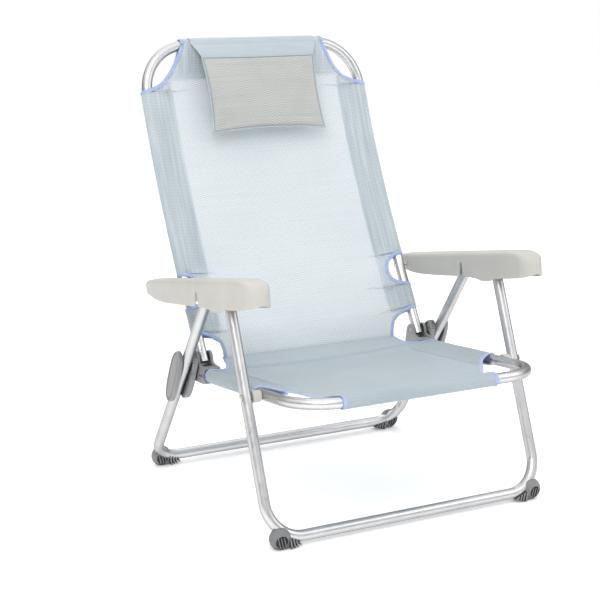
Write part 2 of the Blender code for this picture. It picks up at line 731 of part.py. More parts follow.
def back_top_sleeve(u, v):
    """Over the top bar and a little way down behind, narrower than the panel."""
    x = mix(-BACK_PANEL_X, BACK_PANEL_X, u)
    up, forward = back_directions(BACK_TOP_Z)
    centre = back_at(x * 0.72, BACK_TOP_Z)
    return wrap(v, back_panel(x, BACK_PANEL_Z[1]), centre, out=up, face=forward,
                end=centre - forward * 0.0085 - up * 0.026)


def backrest_fabric():
    stations = [BACK_PANEL_Z[0], *LOWER_SLEEVE_Z, *UPPER_SLEEVE_Z, BACK_PANEL_Z[1]]
    patches = panel_strips(back_panel, BACK_PANEL_X, stations, (1, 1, 1, UPPER_SLEEVE_ROWS, 1))
    for side in (-1, 1):
        patches.append((WRAP_COLUMNS, 1, back_sleeve(side, LOWER_SLEEVE_Z)))
        patches.append((WRAP_COLUMNS, UPPER_SLEEVE_ROWS, back_sleeve(side, UPPER_SLEEVE_Z)))
    patches.append((PANEL_COLUMNS, WRAP_COLUMNS, back_top_sleeve))
    add("backrest_fabric", sheet(patches), BLUE_CLOTH, AXIS_BACK)


# ---- headrest pillow, hung from a flap over the top bar ----
PILLOW_WIDTH, PILLOW_HEIGHT, PILLOW_THICKNESS = 0.250, 0.156, 0.046
PILLOW_Z = 0.7075
PILLOW_GAP = 0.0080       # in front of the tubes' centre line


def edge_fall(t):
    """Share of the thickness left at t, from 0 at the middle to 1 at the edge."""
    return max(0.12, 1 - abs(t) ** 3.0) ** 0.5


def headrest_pillow():
    bm = bmesh.new()
    bmesh.ops.create_cube(bm, size=1.0)
    bmesh.ops.subdivide_edges(bm, edges=bm.edges, cuts=2, use_grid_fill=True)
    for vert in bm.verts:
        x, y, z = vert.co * 2
        vert.co = (x * PILLOW_WIDTH / 2, y * PILLOW_THICKNESS / 2 * edge_fall(x) * edge_fall(z),
                   z * PILLOW_HEIGHT / 2)
    mesh = worked(to_mesh(bm, "pillow"), [("SUBSURF", dict(levels=1, render_levels=1))])
    up, _ = back_directions(PILLOW_Z)
    mesh.transform(Matrix.Translation(back_at(0, PILLOW_Z, PILLOW_THICKNESS / 2 + PILLOW_GAP))
                   @ Matrix.Rotation(-math.atan2(up.y, up.z), 4, "X"))
    add("headrest_pillow", mesh, PALE_CLOTH, AXIS_BACK)


def flap_place(u, v):
    """From the pillow's top edge over the bar and down behind, widening up to the bar."""
    up, forward = back_directions(BACK_TOP_Z)
    centre = back_at(0, BACK_TOP_Z)
    point = wrap(v, centre + forward * 0.018 - up * 0.020, centre, out=up, face=forward,
                 end=centre - forward * 0.0135 - up * 0.060, radius=FLAP_R)
    point.x = mix(-1, 1, u) * mix(0.128, 0.140, min(1.0, wrap_run(v)))
    return point


def pillow_flap():
    add("pillow_flap", sheet([(4, WRAP_COLUMNS, flap_place)]), BLUE_CLOTH, AXIS_BACK)


# ---- the chair ----
seat_frame()
backrest_frame()
armrests()
hinge_forks()
for leg in (FRONT_LEG, REAR_LEG):
    leg_frame(leg)
    feet(leg)
for side in (-1, 1):
    for bracket in BRACKETS:
        rear_bracket(side, *bracket)
    front_spacer(side)
    rivets(side)
seat_fabric()
backrest_fabric()
headrest_pillow()
pillow_flap()

bpy.context.view_layer.update()
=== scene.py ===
"""A low folding beach chair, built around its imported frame.

Metres, in the frame's own axes: X runs across the chair (left is -X), the chair faces -Y,
and Z is up from the floor. It stands open, with a mesh sling, two armrests and a pillow.
"""

import json
import math
from types import SimpleNamespace

import bmesh
import bpy
import numpy as np
from mathutils import Matrix, Vector


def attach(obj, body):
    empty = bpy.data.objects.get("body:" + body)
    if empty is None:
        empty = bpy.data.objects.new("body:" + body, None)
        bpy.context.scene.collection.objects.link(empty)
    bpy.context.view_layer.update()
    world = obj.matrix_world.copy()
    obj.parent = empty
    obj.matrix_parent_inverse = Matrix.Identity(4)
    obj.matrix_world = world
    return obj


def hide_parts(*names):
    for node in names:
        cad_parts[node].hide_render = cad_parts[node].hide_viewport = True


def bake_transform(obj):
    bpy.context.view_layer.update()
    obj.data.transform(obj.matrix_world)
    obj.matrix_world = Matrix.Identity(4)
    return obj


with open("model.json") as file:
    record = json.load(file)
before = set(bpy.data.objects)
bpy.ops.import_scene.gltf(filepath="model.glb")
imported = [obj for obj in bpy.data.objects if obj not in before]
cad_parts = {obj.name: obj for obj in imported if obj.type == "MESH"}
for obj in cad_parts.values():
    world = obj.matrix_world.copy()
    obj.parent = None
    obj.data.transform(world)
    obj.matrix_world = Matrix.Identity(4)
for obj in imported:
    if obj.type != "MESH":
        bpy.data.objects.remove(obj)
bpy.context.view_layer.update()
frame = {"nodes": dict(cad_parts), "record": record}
JOINTS = {joint["name"]: joint for joint in frame["record"]["behaviour"]["joints"]}
SIDES = {-1: "left", 1: "right"}


def joint_place(name):
    """The (y, z) of a joint in the frame's record."""
    return tuple(JOINTS[name]["pos_m"][1:])


# ---- pivots, as (y, z) ----
HINGE = joint_place("backrest_hinge")
FRONT_PIVOT = joint_place("front_leg_hinge")
REAR_PIVOT = joint_place("rear_leg_hinge")
ARM_PIVOT = joint_place("armrest_left_hinge")
ARM_REAR = (0.1804, 0.3695)
RACK_PIN = (-0.0070, 0.4035)

# ---- tubes: half widths to the tube's centre, bars as (y, z), bend radii ----
TUBE_RADIUS = 0.010

SEAT_X = 0.248
SEAT_FRONT = (-0.2985, 0.2623)
SEAT_FRONT_Y = SEAT_FRONT[0]
SEAT_SLOPE = -0.1025
SEAT_END_Y = 0.090
SEAT_BEND = 0.085

BACK_X = 0.241
BACK_X_LOW = 0.2405
BACK_WIDENING = 0.16            # height over which the half width grows to BACK_X
BACK_TOP_Z = 0.8115
BACK_LOW_Z = 0.2420
BACK_BEND = 0.095
BACK_CURVE_Z = 0.4945           # height the cubic is measured from
BACK_CURVE = (-0.34360, -0.27123, 0.53154, 0.25043)

# lean is the run in y for each metre of height
LEGS = {
    "front": SimpleNamespace(x=0.285, bar=(-0.2472, 0.0165), lean=0.406, top=0.4325, bend=0.065),
    "rear": SimpleNamespace(x=0.282, bar=(0.2472, 0.0165), lean=-0.6563, top=0.4170, bend=0.048),
}


def mix(a, b, t):
    return a + (b - a) * t


def clamp(t):
    return min(1.0, max(0.0, t))


def smooth(t):
    t = clamp(t)
    return t * t * (3 - 2 * t)


def lookup(table, t):
    """Reads a table of (place, value) pairs along straight lines."""
    for (start, low), (stop, high) in zip(table, table[1:]):
        if t <= stop:
            return mix(low, high, max(0.0, (t - start) / (stop - start)))
    return table[-1][1]


def smooth_lookup(table, t):
    """Reads a table of (place, value) pairs along a Catmull-Rom curve."""
    if t <= table[0][0]:
        return table[0][1]
    if t >= table[-1][0]:
        return table[-1][1]
    i = next(i for i in range(len(table) - 1) if t <= table[i + 1][0])
    (start, low), (stop, high) = table[i:i + 2]
    span = stop - start

    def slope(j):
        if not 0 < j < len(table) - 1:
            return high - low
        (before, value_before), (after, value_after) = table[j - 1], table[j + 1]
        return (value_after - value_before) / (after - before) * span

    u = (t - start) / span
    return ((2 * u ** 3 - 3 * u ** 2 + 1) * low + (u ** 3 - 2 * u ** 2 + u) * slope(i)
            + (-2 * u ** 3 + 3 * u ** 2) * high + (u ** 3 - u ** 2) * slope(i + 1))


def seat_z(y):
    """Height of the seat rails' centre line."""
    return SEAT_FRONT[1] + SEAT_SLOPE * (y - SEAT_FRONT_Y)


def back_y(z):
    """Depth of the backrest tubes' centre line at a height."""
    t = z - BACK_CURVE_Z
    a, b, c, d = BACK_CURVE
    return ((a * t + b) * t + c) * t + d


def back_x(z):
    """Half width of the backrest tubes at a height."""
    return BACK_X_LOW + (BACK_X - BACK_X_LOW) * clamp((z - BACK_LOW_Z) / BACK_WIDENING)


def back_axes(z):
    """Unit vectors up along the backrest tubes and forward out of the backrest."""
    step = 0.0005
    up = Vector((0, back_y(z + step) - back_y(z - step), 2 * step)).normalized()
    return up, Vector((0, -up.z, up.y))


# ============================================================ shader helpers
def feed(node, inputs):
    """Sets a node's inputs; a socket given as the value is linked instead."""
    for socket, value in inputs.items():
        if isinstance(value, bpy.types.NodeSocket):
            node.id_data.links.new(value, node.inputs[socket])
        else:
            node.inputs[socket].default_value = value


def add(tree, kind, inputs=None, **settings):
    node = tree.nodes.new("ShaderNode" + kind)
    for setting, value in settings.items():
        setattr(node, setting, value)
    feed(node, inputs or {})
    return node


def new_material(name):
    """A material with only a Principled surface: (material, node tree, surface)."""
    material = bpy.data.materials.new(name)
    material.use_nodes = True
    tree = material.node_tree
    tree.nodes.clear()
    output = add(tree, "OutputMaterial")
    surface = add(tree, "BsdfPrincipled")
    feed(output, {"Surface": surface.outputs[0]})
    return material, tree, surface


def coordinates(tree, kind):
    return add(tree, "TexCoord").outputs[kind]


def scaled(tree, vector, scale):
    return add(tree, "Mapping", {"Scale": scale, "Vector": vector}).outputs[0]


def noise(tree, vector, scale, detail=3.0, roughness=0.5):
    inputs = {"Scale": scale, "Detail": detail, "Roughness": roughness, "Vector": vector}
    return add(tree, "TexNoise", inputs).outputs[0]


def ramp(tree, source, stops):
    """A colour ramp through (position, colour) stops."""
    node = add(tree, "ValToRGB", {0: source})
    elements = node.color_ramp.elements
    while len(elements) > 1:
        elements.remove(elements[0])
    elements[0].position = stops[0][0]
    elements[0].color = (*stops[0][1], 1)
    for position, colour in stops[1:]:
        elements.new(position).color = (*colour, 1)
    return node.outputs[0]


def grey_ramp(tree, source, stops):
    return ramp(tree, source, [(position, (level,) * 3) for position, level in stops])


def remap(tree, value, from_min=0.0, from_max=1.0, to_min=0.0, to_max=1.0):
    inputs = {"From Min": from_min, "From Max": from_max, "To Min": to_min, "To Max": to_max}
    return add(tree, "MapRange", {"Value": value, **inputs}).outputs[0]


def calc(tree, operation, *operands):
    return add(tree, "Math", dict(enumerate(operands)), operation=operation).outputs[0]


def mix_colour(tree, factor, a, b, **settings):
    inputs = {"Factor": factor, "A": a, "B": b}
    return add(tree, "Mix", inputs, data_type="RGBA", **settings).outputs["Result"]


def bump(tree, surface, height, strength, distance):
    inputs = {"Strength": strength, "Distance": distance, "Height": height}
    feed(surface, {"Normal": add(tree, "Bump", inputs).outputs[0]})


# ============================================================ materials
def aluminium(name):
    """Satin anodised tube: fine grain, a little cloudiness, faint scuffs, and painted shade that
    darkens its sides.
    """
    material, tree, surface = new_material(name)
    place = coordinates(tree, "Object")
    cloud = ramp(tree, noise(tree, place, 28),
                 [(0.30, (0.70, 0.702, 0.706)), (0.70, (0.78, 0.782, 0.786))])
    # painted shade: the colour darkens as the surface turns from view, standing in for dark
    # reflections on the tube's sides
    facing = add(tree, "LayerWeight", {"Blend": 0.5}).outputs["Facing"]
    edge = ramp(tree, facing, [
        (0.0, (1.0, 1.0, 1.0)), (0.26, (0.90, 0.90, 0.90)), (0.56, (0.58, 0.577, 0.576)),
        (0.84, (0.40, 0.397, 0.396)), (1.0, (0.34, 0.337, 0.336))])
    fine = noise(tree, scaled(tree, place, (900, 900, 900)), 1.0, detail=2)
    scuff = noise(tree, scaled(tree, place, (60, 160, 60)), 1.0, detail=5, roughness=0.7)
    feed(surface, {
        "Metallic": 0.92,
        "Base Color": mix_colour(tree, 1.0, cloud, edge, blend_type="MULTIPLY"),
        "Roughness": remap(tree, scuff, 0.35, 0.75, to_min=0.27, to_max=0.44),
    })
    bump(tree, surface, fine, strength=0.12, distance=0.00008)
    return material


def steel(name):
    material, tree, surface = new_material(name)
    speckle = noise(tree, coordinates(tree, "Object"), 420, detail=4, roughness=0.6)
    feed(surface, {
        "Metallic": 1.0,
        "Base Color": ramp(tree, speckle, [(0.3, (0.60, 0.60, 0.61)), (0.7, (0.74, 0.74, 0.75))]),
        "Roughness": grey_ramp(tree, speckle, [(0.3, 0.24), (0.7, 0.40)]),
    })
    bump(tree, surface, speckle, strength=0.15, distance=0.0001)
    return material


def plastic(name, dark, light, roughness, recess=0.80):
    """Moulded plastic: fine grain, flow clouding, paler rubbed edges, and painted shade that dims
    recesses to 'recess'.
    """
    material, tree, surface = new_material(name)
    place = coordinates(tree, "Object")
    pointiness = add(tree, "NewGeometry").outputs["Pointiness"]
    cloud = ramp(tree, noise(tree, place, 14, detail=4, roughness=0.6),
                 [(0.25, dark), (0.75, light)])
    wear = remap(tree, pointiness, 0.53, 0.64, to_max=0.10)
    worn = mix_colour(tree, wear, cloud, (0.92, 0.92, 0.90, 1))
    # painted shade: ambient occlusion darkens the colour in recesses
    openness = add(tree, "AmbientOcclusion", {"Distance": 0.010}, samples=8).outputs["AO"]
    shade = remap(tree, openness, 0.25, 0.85, to_min=recess)
    grain = add(tree, "TexVoronoi", {"Scale": 1500.0, "Vector": place}).outputs[0]
    feed(surface, {
        "Base Color": mix_colour(tree, 1.0, worn, shade, blend_type="MULTIPLY"),
        "Roughness": remap(tree, noise(tree, place, 90),
                           to_min=roughness - 0.06, to_max=roughness + 0.10),
        "Specular IOR Level": 0.42,
    })
    bump(tree, surface, grain, strength=0.35, distance=0.00009)
    return material


def weave(name, dark, light, openness, pitch, roughness=0.62, zigzag=0.40, zigzag_run=2.2,
          glow=0.25, streaks=(4, 240), tones=(0.42, 0.20, 0.30), stray=1.2):
    """Vinyl-coated mesh: crossing yarns with small windows, in a wavy zigzag. UVs are metres.

    tones are the shares of yarn relief, blotches and streaks in the colour; stray is how far
    the weft wanders, in pitches; glow is the share of light let through the yarns.
    """
    material, tree, surface = new_material(name)

    def plus(a, b):
        return calc(tree, "ADD", a, b)

    def times(a, b):
        return calc(tree, "MULTIPLY", a, b)

    def yarn(count):
        return calc(tree, "ABSOLUTE", calc(tree, "SINE", times(count, math.pi)))

    uv = coordinates(tree, "UV")
    split = add(tree, "SeparateXYZ", {0: uv})
    u, v = split.outputs[0], split.outputs[1]
    zig = calc(tree, "PINGPONG", times(u, 1 / (pitch * zigzag_run)), 1.0)
    wander = noise(tree, scaled(tree, uv, (60, 14, 1)), 1.0)
    weft_count = plus(times(v, 1 / pitch), times(zig, zigzag * zigzag_run))
    weft_count = plus(weft_count, times(wander, stray))
    warp_count = plus(times(u, 1 / pitch), times(wander, 0.8))
    weft = yarn(weft_count)
    warp = yarn(warp_count)
    height = calc(tree, "MAXIMUM", weft, warp)
    window = times(calc(tree, "SUBTRACT", 1.0, weft), calc(tree, "SUBTRACT", 1.0, warp))

    blotch = noise(tree, scaled(tree, uv, (7, 7, 1)), 1.0, detail=4, roughness=0.6)
    streak = noise(tree, scaled(tree, uv, (*streaks, 1)), 1.0, roughness=0.6)
    tone = plus(times(weft, tones[0]), plus(times(blotch, tones[1]), times(streak, tones[2])))
    colour = ramp(tree, tone, [(0.20, dark), (0.85, light)])
    feed(surface, {
        "Base Color": colour,
        "Roughness": roughness,
        "Specular IOR Level": 0.30,
        "Sheen Weight": 0.25,
        "Sheen Roughness": 0.5,
    })
    bump(tree, surface, height, strength=0.45, distance=0.0004)

    # light comes through the yarns and through the windows between them
    through_yarn = add(tree, "BsdfTranslucent", {"Color": colour}).outputs[0]
    clear = add(tree, "BsdfTransparent").outputs[0]
    cloth = add(tree, "MixShader", {0: glow, 1: surface.outputs[0], 2: through_yarn})
    hole = remap(tree, window, 0.0, 0.6,
                 to_min=openness * 0.55, to_max=min(1.0, openness * 2.2))
    pierced = add(tree, "MixShader", {0: hole, 1: cloth.outputs[0], 2: clear})
    feed(tree.nodes["Material Output"], {"Surface": pierced.outputs[0]})
    return material


def tape_material(name, dark, light):
    """Bias binding: diagonal twill and a little fuzz."""
    material, tree, surface = new_material(name)
    uv = coordinates(tree, "UV")
    twill = add(tree, "TexWave", {"Scale": 420, "Distortion": 1.2, "Vector": uv},
                wave_type="BANDS", bands_direction="DIAGONAL").outputs["Fac"]
    mottle = noise(tree, scaled(tree, uv, (90, 90, 1)), 1.0, detail=4)
    tone = calc(tree, "MULTIPLY_ADD", twill, 0.45, mottle)
    feed(surface, {
        "Base Color": ramp(tree, tone, [(0.35, dark), (0.95, light)]),
        "Roughness": 0.75,
        "Sheen Weight": 0.35,
    })
    bump(tree, surface, twill, strength=0.4, distance=0.0003)
    return material


def thread_material(name, colour):
    material, tree, surface = new_material(name)
    fibre = noise(tree, coordinates(tree, "Object"), 1800)
    shaded = tuple(c * 0.82 for c in colour)
    feed(surface, {
        "Base Color": ramp(tree, fibre, [(0.3, shaded), (0.7, colour)]),
        "Roughness": 0.6,
    })
    bump(tree, surface, fibre, strength=0.4, distance=0.0002)
    return material


ALUMINIUM = aluminium("anodised_tube")
STEEL = steel("steel_rivet")
LIGHT_PLASTIC = plastic("light_plastic", dark=(0.50, 0.49, 0.455), light=(0.56, 0.55, 0.515),
                        roughness=0.46)
# the grey and foot plastics darken to about a tenth in their recesses: strong painted shade
GREY_PLASTIC = plastic("grey_plastic", dark=(0.25, 0.252, 0.256), light=(0.33, 0.332, 0.336),
                       roughness=0.48, recess=0.12)
FOOT_PLASTIC = plastic("foot_plastic", dark=(0.19, 0.192, 0.195), light=(0.27, 0.272, 0.275),
                       roughness=0.50, recess=0.10)
# painted shade: a near-black copy of the foot plastic, laid on the floors of the feet's hollows
FOOT_HOLLOW_SHADE = plastic("foot_hollow", dark=(0.030, 0.030, 0.031), light=(0.050, 0.050, 0.052),
                      roughness=0.62)
BACK_MESH = weave("mesh_back", dark=(0.60, 0.67, 0.70), light=(0.88, 0.91, 0.93),
                  openness=0.20, pitch=0.0038, zigzag=0.42)
# painted shade: the seat's copy of the mesh is darker than the back's, standing in for the seat
# getting less light through it
SEAT_MESH = weave("mesh_seat", dark=(0.42, 0.49, 0.54), light=(0.68, 0.73, 0.76),
                  openness=0.10, pitch=0.0026, zigzag=0.30, tones=(0.24, 0.26, 0.34))
SLEEVE_MESH = weave("mesh_sleeve", dark=(0.40, 0.50, 0.55), light=(0.92, 0.96, 0.98),
                    openness=0.18, pitch=0.0030, zigzag=0.2, streaks=(190, 6),
                    tones=(0.14, 0.20, 0.66))
HEM_MESH = weave("mesh_hem", dark=(0.44, 0.52, 0.57), light=(0.72, 0.79, 0.83),
                 openness=0.12, pitch=0.0028, zigzag=0.3, tones=(0.24, 0.26, 0.34))
PILLOW_FRONT = weave("pillow_front", dark=(0.25, 0.26, 0.25), light=(0.64, 0.65, 0.63),
                     openness=0.0, pitch=0.0036, roughness=0.8, zigzag=0.42, zigzag_run=3.0,
                     glow=0.0, tones=(0.52, 0.24, 0.22), stray=2.2)
PILLOW_SIDE = weave("pillow_side", dark=(0.36, 0.43, 0.47), light=(0.56, 0.63, 0.66),
                    openness=0.0, pitch=0.0026, roughness=0.75, glow=0.0,
                    tones=(0.26, 0.30, 0.34))
PILLOW_FLAP = weave("pillow_flap", dark=(0.37, 0.44, 0.49), light=(0.64, 0.70, 0.74),
                    openness=0.0, pitch=0.0030, roughness=0.75, glow=0.05,
                    tones=(0.26, 0.30, 0.34))
TAPE = tape_material("binding", dark=(0.26, 0.34, 0.62), light=(0.46, 0.55, 0.82))
THREAD = thread_material("thread", (0.58, 0.68, 0.76))


# ============================================================ mesh helpers
def piece(name, mesh, material, body, replaces=(), sharp_angle=None):
    """Makes a finished piece. With no body it is left unattached, its placement baked into the mesh.

    A mesh that already has its materials is given with material None.
    """
    piece_object = bpy.data.objects.new(name, mesh)
    bpy.context.scene.collection.objects.link(piece_object)
    if material:
        mesh.materials.append(material)
    mesh.shade_smooth()
    if sharp_angle:
        mesh.set_sharp_from_angle(angle=math.radians(sharp_angle))
    if body:
        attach(piece_object, body)
    if replaces:
        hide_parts(*replaces)
    if not body:
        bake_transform(piece_object)


def mesh_from_bm(name, bm):
    mesh = bpy.data.meshes.new(name)
    bm.to_mesh(mesh)
    bm.free()
    return mesh


def evaluated(source):
    bpy.context.view_layer.update()
    depsgraph = bpy.context.evaluated_depsgraph_get()
    return bpy.data.meshes.new_from_object(source.evaluated_get(depsgraph))


def apply_modifiers(mesh, *steps):
    """The mesh after a stack of (kind, settings) modifiers."""
    work = bpy.data.objects.new("work", mesh)
    bpy.context.scene.collection.objects.link(work)
    for kind, settings in steps:
        modifier = work.modifiers.new(kind, kind)
        for setting, value in settings.items():
            setattr(modifier, setting, value)
    result = evaluated(work)
    bpy.data.objects.remove(work, do_unlink=True)
    return result


def distances(points):
    """Distance of each point along the line through them."""
    result = [0.0]
    for a, b in zip(points, points[1:]):
        result.append(result[-1] + (b - a).length)
    return result


def bend_path(points, radii):
    """A polyline whose inner corners are rounded, one radius for each; zero keeps the corner."""
    steps = 18
    points = [Vector(p) for p in points]
    path = [points[0]]
    for before, corner, after, radius in zip(points, points[1:], points[2:], radii):
        if radius <= 0:
            path.append(corner)
            continue
        back = (before - corner).normalized()
        ahead = (after - corner).normalized()
        half = back.angle(ahead) / 2
        centre = corner + (back + ahead).normalized() * (radius / math.sin(half))
        first = corner + back * (radius / math.tan(half)) - centre
        last = corner + ahead * (radius / math.tan(half)) - centre
        turn = first.angle(last)
        for k in range(steps + 1):
            t = k / steps
            spoke = first * math.sin((1 - t) * turn) + last * math.sin(t * turn)
            path.append(centre + spoke / math.sin(turn))
    path.append(points[-1])
    return path


def sweep(path, section, closed=False, normals=None):
    """Carries a closed section, as (across, out) pairs, along a path.

    normals gives 'out' at each point; without them it is carried on from the first point.
    """
    points = [Vector(p) for p in path]
    last = len(points) - 1
    bm = bmesh.new()
    uv_layer = bm.loops.layers.uv.new("UVMap")
    rings = []
    out = None
    for i, point in enumerate(points):
        if closed:
            along = points[(i + 1) % len(points)] - points[i - 1]
        else:
            along = points[min(i + 1, last)] - points[max(i - 1, 0)]
        along.normalize()
        if normals is not None:
            out = Vector(normals[i])
        elif out is None:
            out = Vector((0, 0, 1)) if abs(along.z) < 0.9 else Vector((1, 0, 0))
        out = (out - along * out.dot(along)).normalized()
        side = along.cross(out).normalized()
        rings.append([bm.verts.new(point + side * a + out * b) for a, b in section])
    lengths = distances(points + points[:1])
    girths = distances([Vector(p) for p in (*section, section[0])])
    for i in range(len(points) if closed else last):
        ring, following = rings[i], rings[(i + 1) % len(points)]
        for k in range(len(section)):
            m = (k + 1) % len(section)
            face = bm.faces.new((ring[k], ring[m], following[m], following[k]))
            for loop, (a, b) in zip(face.loops, ((i, k), (i, k + 1), (i + 1, k + 1), (i + 1, k))):
                loop[uv_layer].uv = (lengths[a], girths[b])
    if not closed:
        bm.faces.new(rings[0])
        bm.faces.new(rings[-1][::-1])
    bmesh.ops.recalc_face_normals(bm, faces=bm.faces)
    return mesh_from_bm("sweep", bm)


def circle(radius, count=32):
    angles = [2 * math.pi * k / count for k in range(count)]
    return [(radius * math.cos(a), radius * math.sin(a)) for a in angles]


def turned(profile, steps=40):
    """Spins (radius, height) pairs about +Z; a zero radius is a pole."""
    bm = bmesh.new()
    rings = []
    for radius, z in profile:
        if radius <= 1e-7:
            rings.append([bm.verts.new((0, 0, z))])
        else:
            rings.append([bm.verts.new((x, y, z)) for x, y in circle(radius, steps)])
    for a, b in zip(rings, rings[1:]):
        for k in range(steps):
            m = (k + 1) % steps
            corners = (a[k % len(a)], b[k % len(b)], b[m % len(b)], a[m % len(a)])
            bm.faces.new(tuple(dict.fromkeys(corners)))
    bmesh.ops.recalc_face_normals(bm, faces=bm.faces)
    return mesh_from_bm("turned", bm)


def prism(name, corners, offset):
    """A flat outline given thickness by an offset."""
    bm = bmesh.new()
    face = bm.faces.new([bm.verts.new(corner) for corner in corners])
    grown = bmesh.ops.extrude_face_region(bm, geom=[face])["geom"]
    moved = [v for v in grown if isinstance(v, bmesh.types.BMVert)]
    bmesh.ops.translate(bm, vec=offset, verts=moved)
    bmesh.ops.recalc_face_normals(bm, faces=bm.faces)
    return mesh_from_bm(name, bm)


# ============================================================ tube frames
def tube(name, path, body, node):
    mesh = sweep(path, circle(TUBE_RADIUS))
    piece(name, mesh, ALUMINIUM, body, (node,), 50)


def seat_path():
    end = (SEAT_END_Y, seat_z(SEAT_END_Y))
    corners = [(-SEAT_X, *end), (-SEAT_X, *SEAT_FRONT), (SEAT_X, *SEAT_FRONT), (SEAT_X, *end)]
    return bend_path(corners, [SEAT_BEND] * 2)


def back_path():
    """Up one curved side, across the top bar and down the other side."""
    steps = 26
    rise = BACK_TOP_Z - BACK_BEND - BACK_LOW_Z
    heights = [BACK_LOW_Z + rise * k / steps for k in range(steps + 1)]
    left = [(-back_x(z), back_y(z), z) for z in heights]
    right = [(back_x(z), back_y(z), z) for z in reversed(heights)]
    top = (back_y(BACK_TOP_Z), BACK_TOP_Z)
    corners = left + [(-BACK_X, *top), (BACK_X, *top)] + right
    return bend_path(corners, [0] * steps + [BACK_BEND] * 2 + [0] * steps)


def leg_path(leg, top_z):
    """A leg frame: down one side, along the floor bar and up the other side, to top_z."""
    top = (leg.bar[0] + leg.lean * (top_z - leg.bar[1]), top_z)
    corners = [(-leg.x, *top), (-leg.x, *leg.bar), (leg.x, *leg.bar), (leg.x, *top)]
    return bend_path(corners, [leg.bend] * 2)


tube("seat_tube", seat_path(), "seat", "seat_frame")
tube("backrest_tube", back_path(), "backrest", "backrest_frame")
for end, leg in LEGS.items():
    tube(f"{end}_leg_tube", leg_path(leg, leg.top), f"{end}_leg", f"{end}_leg_frame")


# ============================================================ rivets and spacers
# piece, frame node, inner x, outer x, (y, z), body, head radius, foot radius
RIVETS = (
    ("front_pivot", "front_pivot_rivet", 0.2376, 0.2954, FRONT_PIVOT, "seat", 0.0062, 0.0048),
    ("rear_pivot", "rear_pivot_rivet", 0.2240, 0.2960, REAR_PIVOT, "seat", 0.0032, 0.0032),
    ("hinge_pin", "hinge_rivet", 0.2252, 0.2555, HINGE, "seat", 0.0032, 0.0032),
    ("armrest_front_pin", "armrest_front_rivet", 0.2746, 0.2954, ARM_PIVOT, "armrest_{}",
     0.0045, 0.0045),
    ("armrest_rear_pin", "armrest_rear_rivet", back_x(ARM_REAR[1]) - TUBE_RADIUS - 0.0008,
     0.2545, ARM_REAR, "backrest", 0.0050, 0.0052),
    ("rack_pin_bar", "rack_pin", 0.2655, 0.3035, RACK_PIN, "rear_leg", 0.0046, 0.0046),
)
SHANK_RADIUS = 0.0030
SPACER_GAP = 0.0004             # clearance to the tube at each end
# (radius, distance in from the end) of a spacer's bore and softened end
SPACER_END = [(0.0034, 0.0), (0.0092, 0.0), (0.0099, 0.0003), (0.0103, 0.0010), (0.0105, 0.0030)]


def lay_across(mesh, side, x, place):
    """Turns a mesh spun about +Z to point outwards on one side, at (y, z)."""
    quarter_turn = Matrix.Rotation(side * math.pi / 2, 4, "Y")
    mesh.transform(Matrix.Translation((side * x, *place)) @ quarter_turn)


def rivet_mesh(length, head, foot):
    """A domed head, a shank and a rolled foot with a dimple."""
    profile = [(0.0, 0.0022)]
    for k in range(1, 9):
        a = math.pi / 2 * k / 8
        profile.append((head * math.sin(a), 0.0004 + 0.0018 * math.cos(a)))
    profile += [
        (head, 0.0), (SHANK_RADIUS, 0.0), (SHANK_RADIUS, -length), (foot, -length),
        (foot, -length - 0.0008), (foot * 0.8, -length - 0.0012),
        (foot * 0.45, -length - 0.0012), (foot * 0.40, -length - 0.0006),
        (0.0, -length - 0.0006)]
    return turned(profile, 32)


def spacer(side):
    """A plain bush between the seat rail and the front leg."""
    start = SEAT_X + TUBE_RADIUS + SPACER_GAP
    width = LEGS["front"].x - TUBE_RADIUS - SPACER_GAP - start
    profile = SPACER_END + [(SPACER_END[-1][0], width / 2)]
    profile += [(radius, width - z) for radius, z in reversed(SPACER_END)] + SPACER_END[:1]
    mesh = turned(profile)
    lay_across(mesh, side, start, FRONT_PIVOT)
    name = SIDES[side]
    piece("spacer_" + name, mesh, LIGHT_PLASTIC, "seat",
          ("front_spacer_" + name,), 35)


for side, side_name in SIDES.items():
    for name, node, inner, outer, place, body, head, foot in RIVETS:
        mesh = rivet_mesh(outer - inner, head, foot)
        lay_across(mesh, side, outer, place)
        piece(f"{name}_{side_name}", mesh, STEEL, body.format(side_name),
              (f"{node}_{side_name}",), 40)
    spacer(side)


# ============================================================ armrests
# Built lying along Y with the pivot at the origin, then sloped and moved into place.
ARM_X = 0.285
ARM_HALF = 0.050 / 2            # half width, and radius of the half-round nose
ARM_SLOPE = math.radians(10.8)
ARM_FRONT = -0.130
ARM_BACK = 0.312
ARM_TOP = 0.0225
ARM_TAIL = 0.016                # corner radius at the rear end
ARM_INSET = 0.0002              # keeps the end rings from closing to a point
ARM_WALL = 0.0026
# (y, z) of the skirts' lower edge
ARM_UNDER = [
    (-0.131, -0.0215), (-0.127, -0.0245), (-0.118, -0.0268), (-0.100, -0.0280),
    (-0.060, -0.0285), (0.030, -0.0285), (0.060, -0.0255), (0.212, -0.0200),
    (0.262, -0.0140), (0.300, -0.0020), (0.312, 0.0030)]
# (y, drop of the top) along the nose
ARM_NOSE = [
    (-0.1310, 0.0265), (-0.1290, 0.0215), (-0.1250, 0.0155), (-0.1170, 0.0092),
    (-0.1060, 0.0045), (-0.0950, 0.0017), (-0.0800, 0.0), (0.4, 0.0)]


def arm_stations():
    """Places along the armrest, close together round the nose and the tail."""
    nose_end = ARM_FRONT + ARM_HALF
    tail_start = ARM_BACK - ARM_TAIL
    stations = []
    for k in range(15):
        a = math.pi / 2 * k / 14
        stations.append(ARM_FRONT + ARM_HALF * (1 - math.cos(a)) + ARM_INSET)
    stations += [nose_end + (tail_start - nose_end) * k / 44 for k in range(1, 45)]
    stations += [tail_start + ARM_TAIL * math.sin(math.pi / 2 * k / 8) for k in range(1, 9)]
    stations[-1] -= ARM_INSET
    return stations


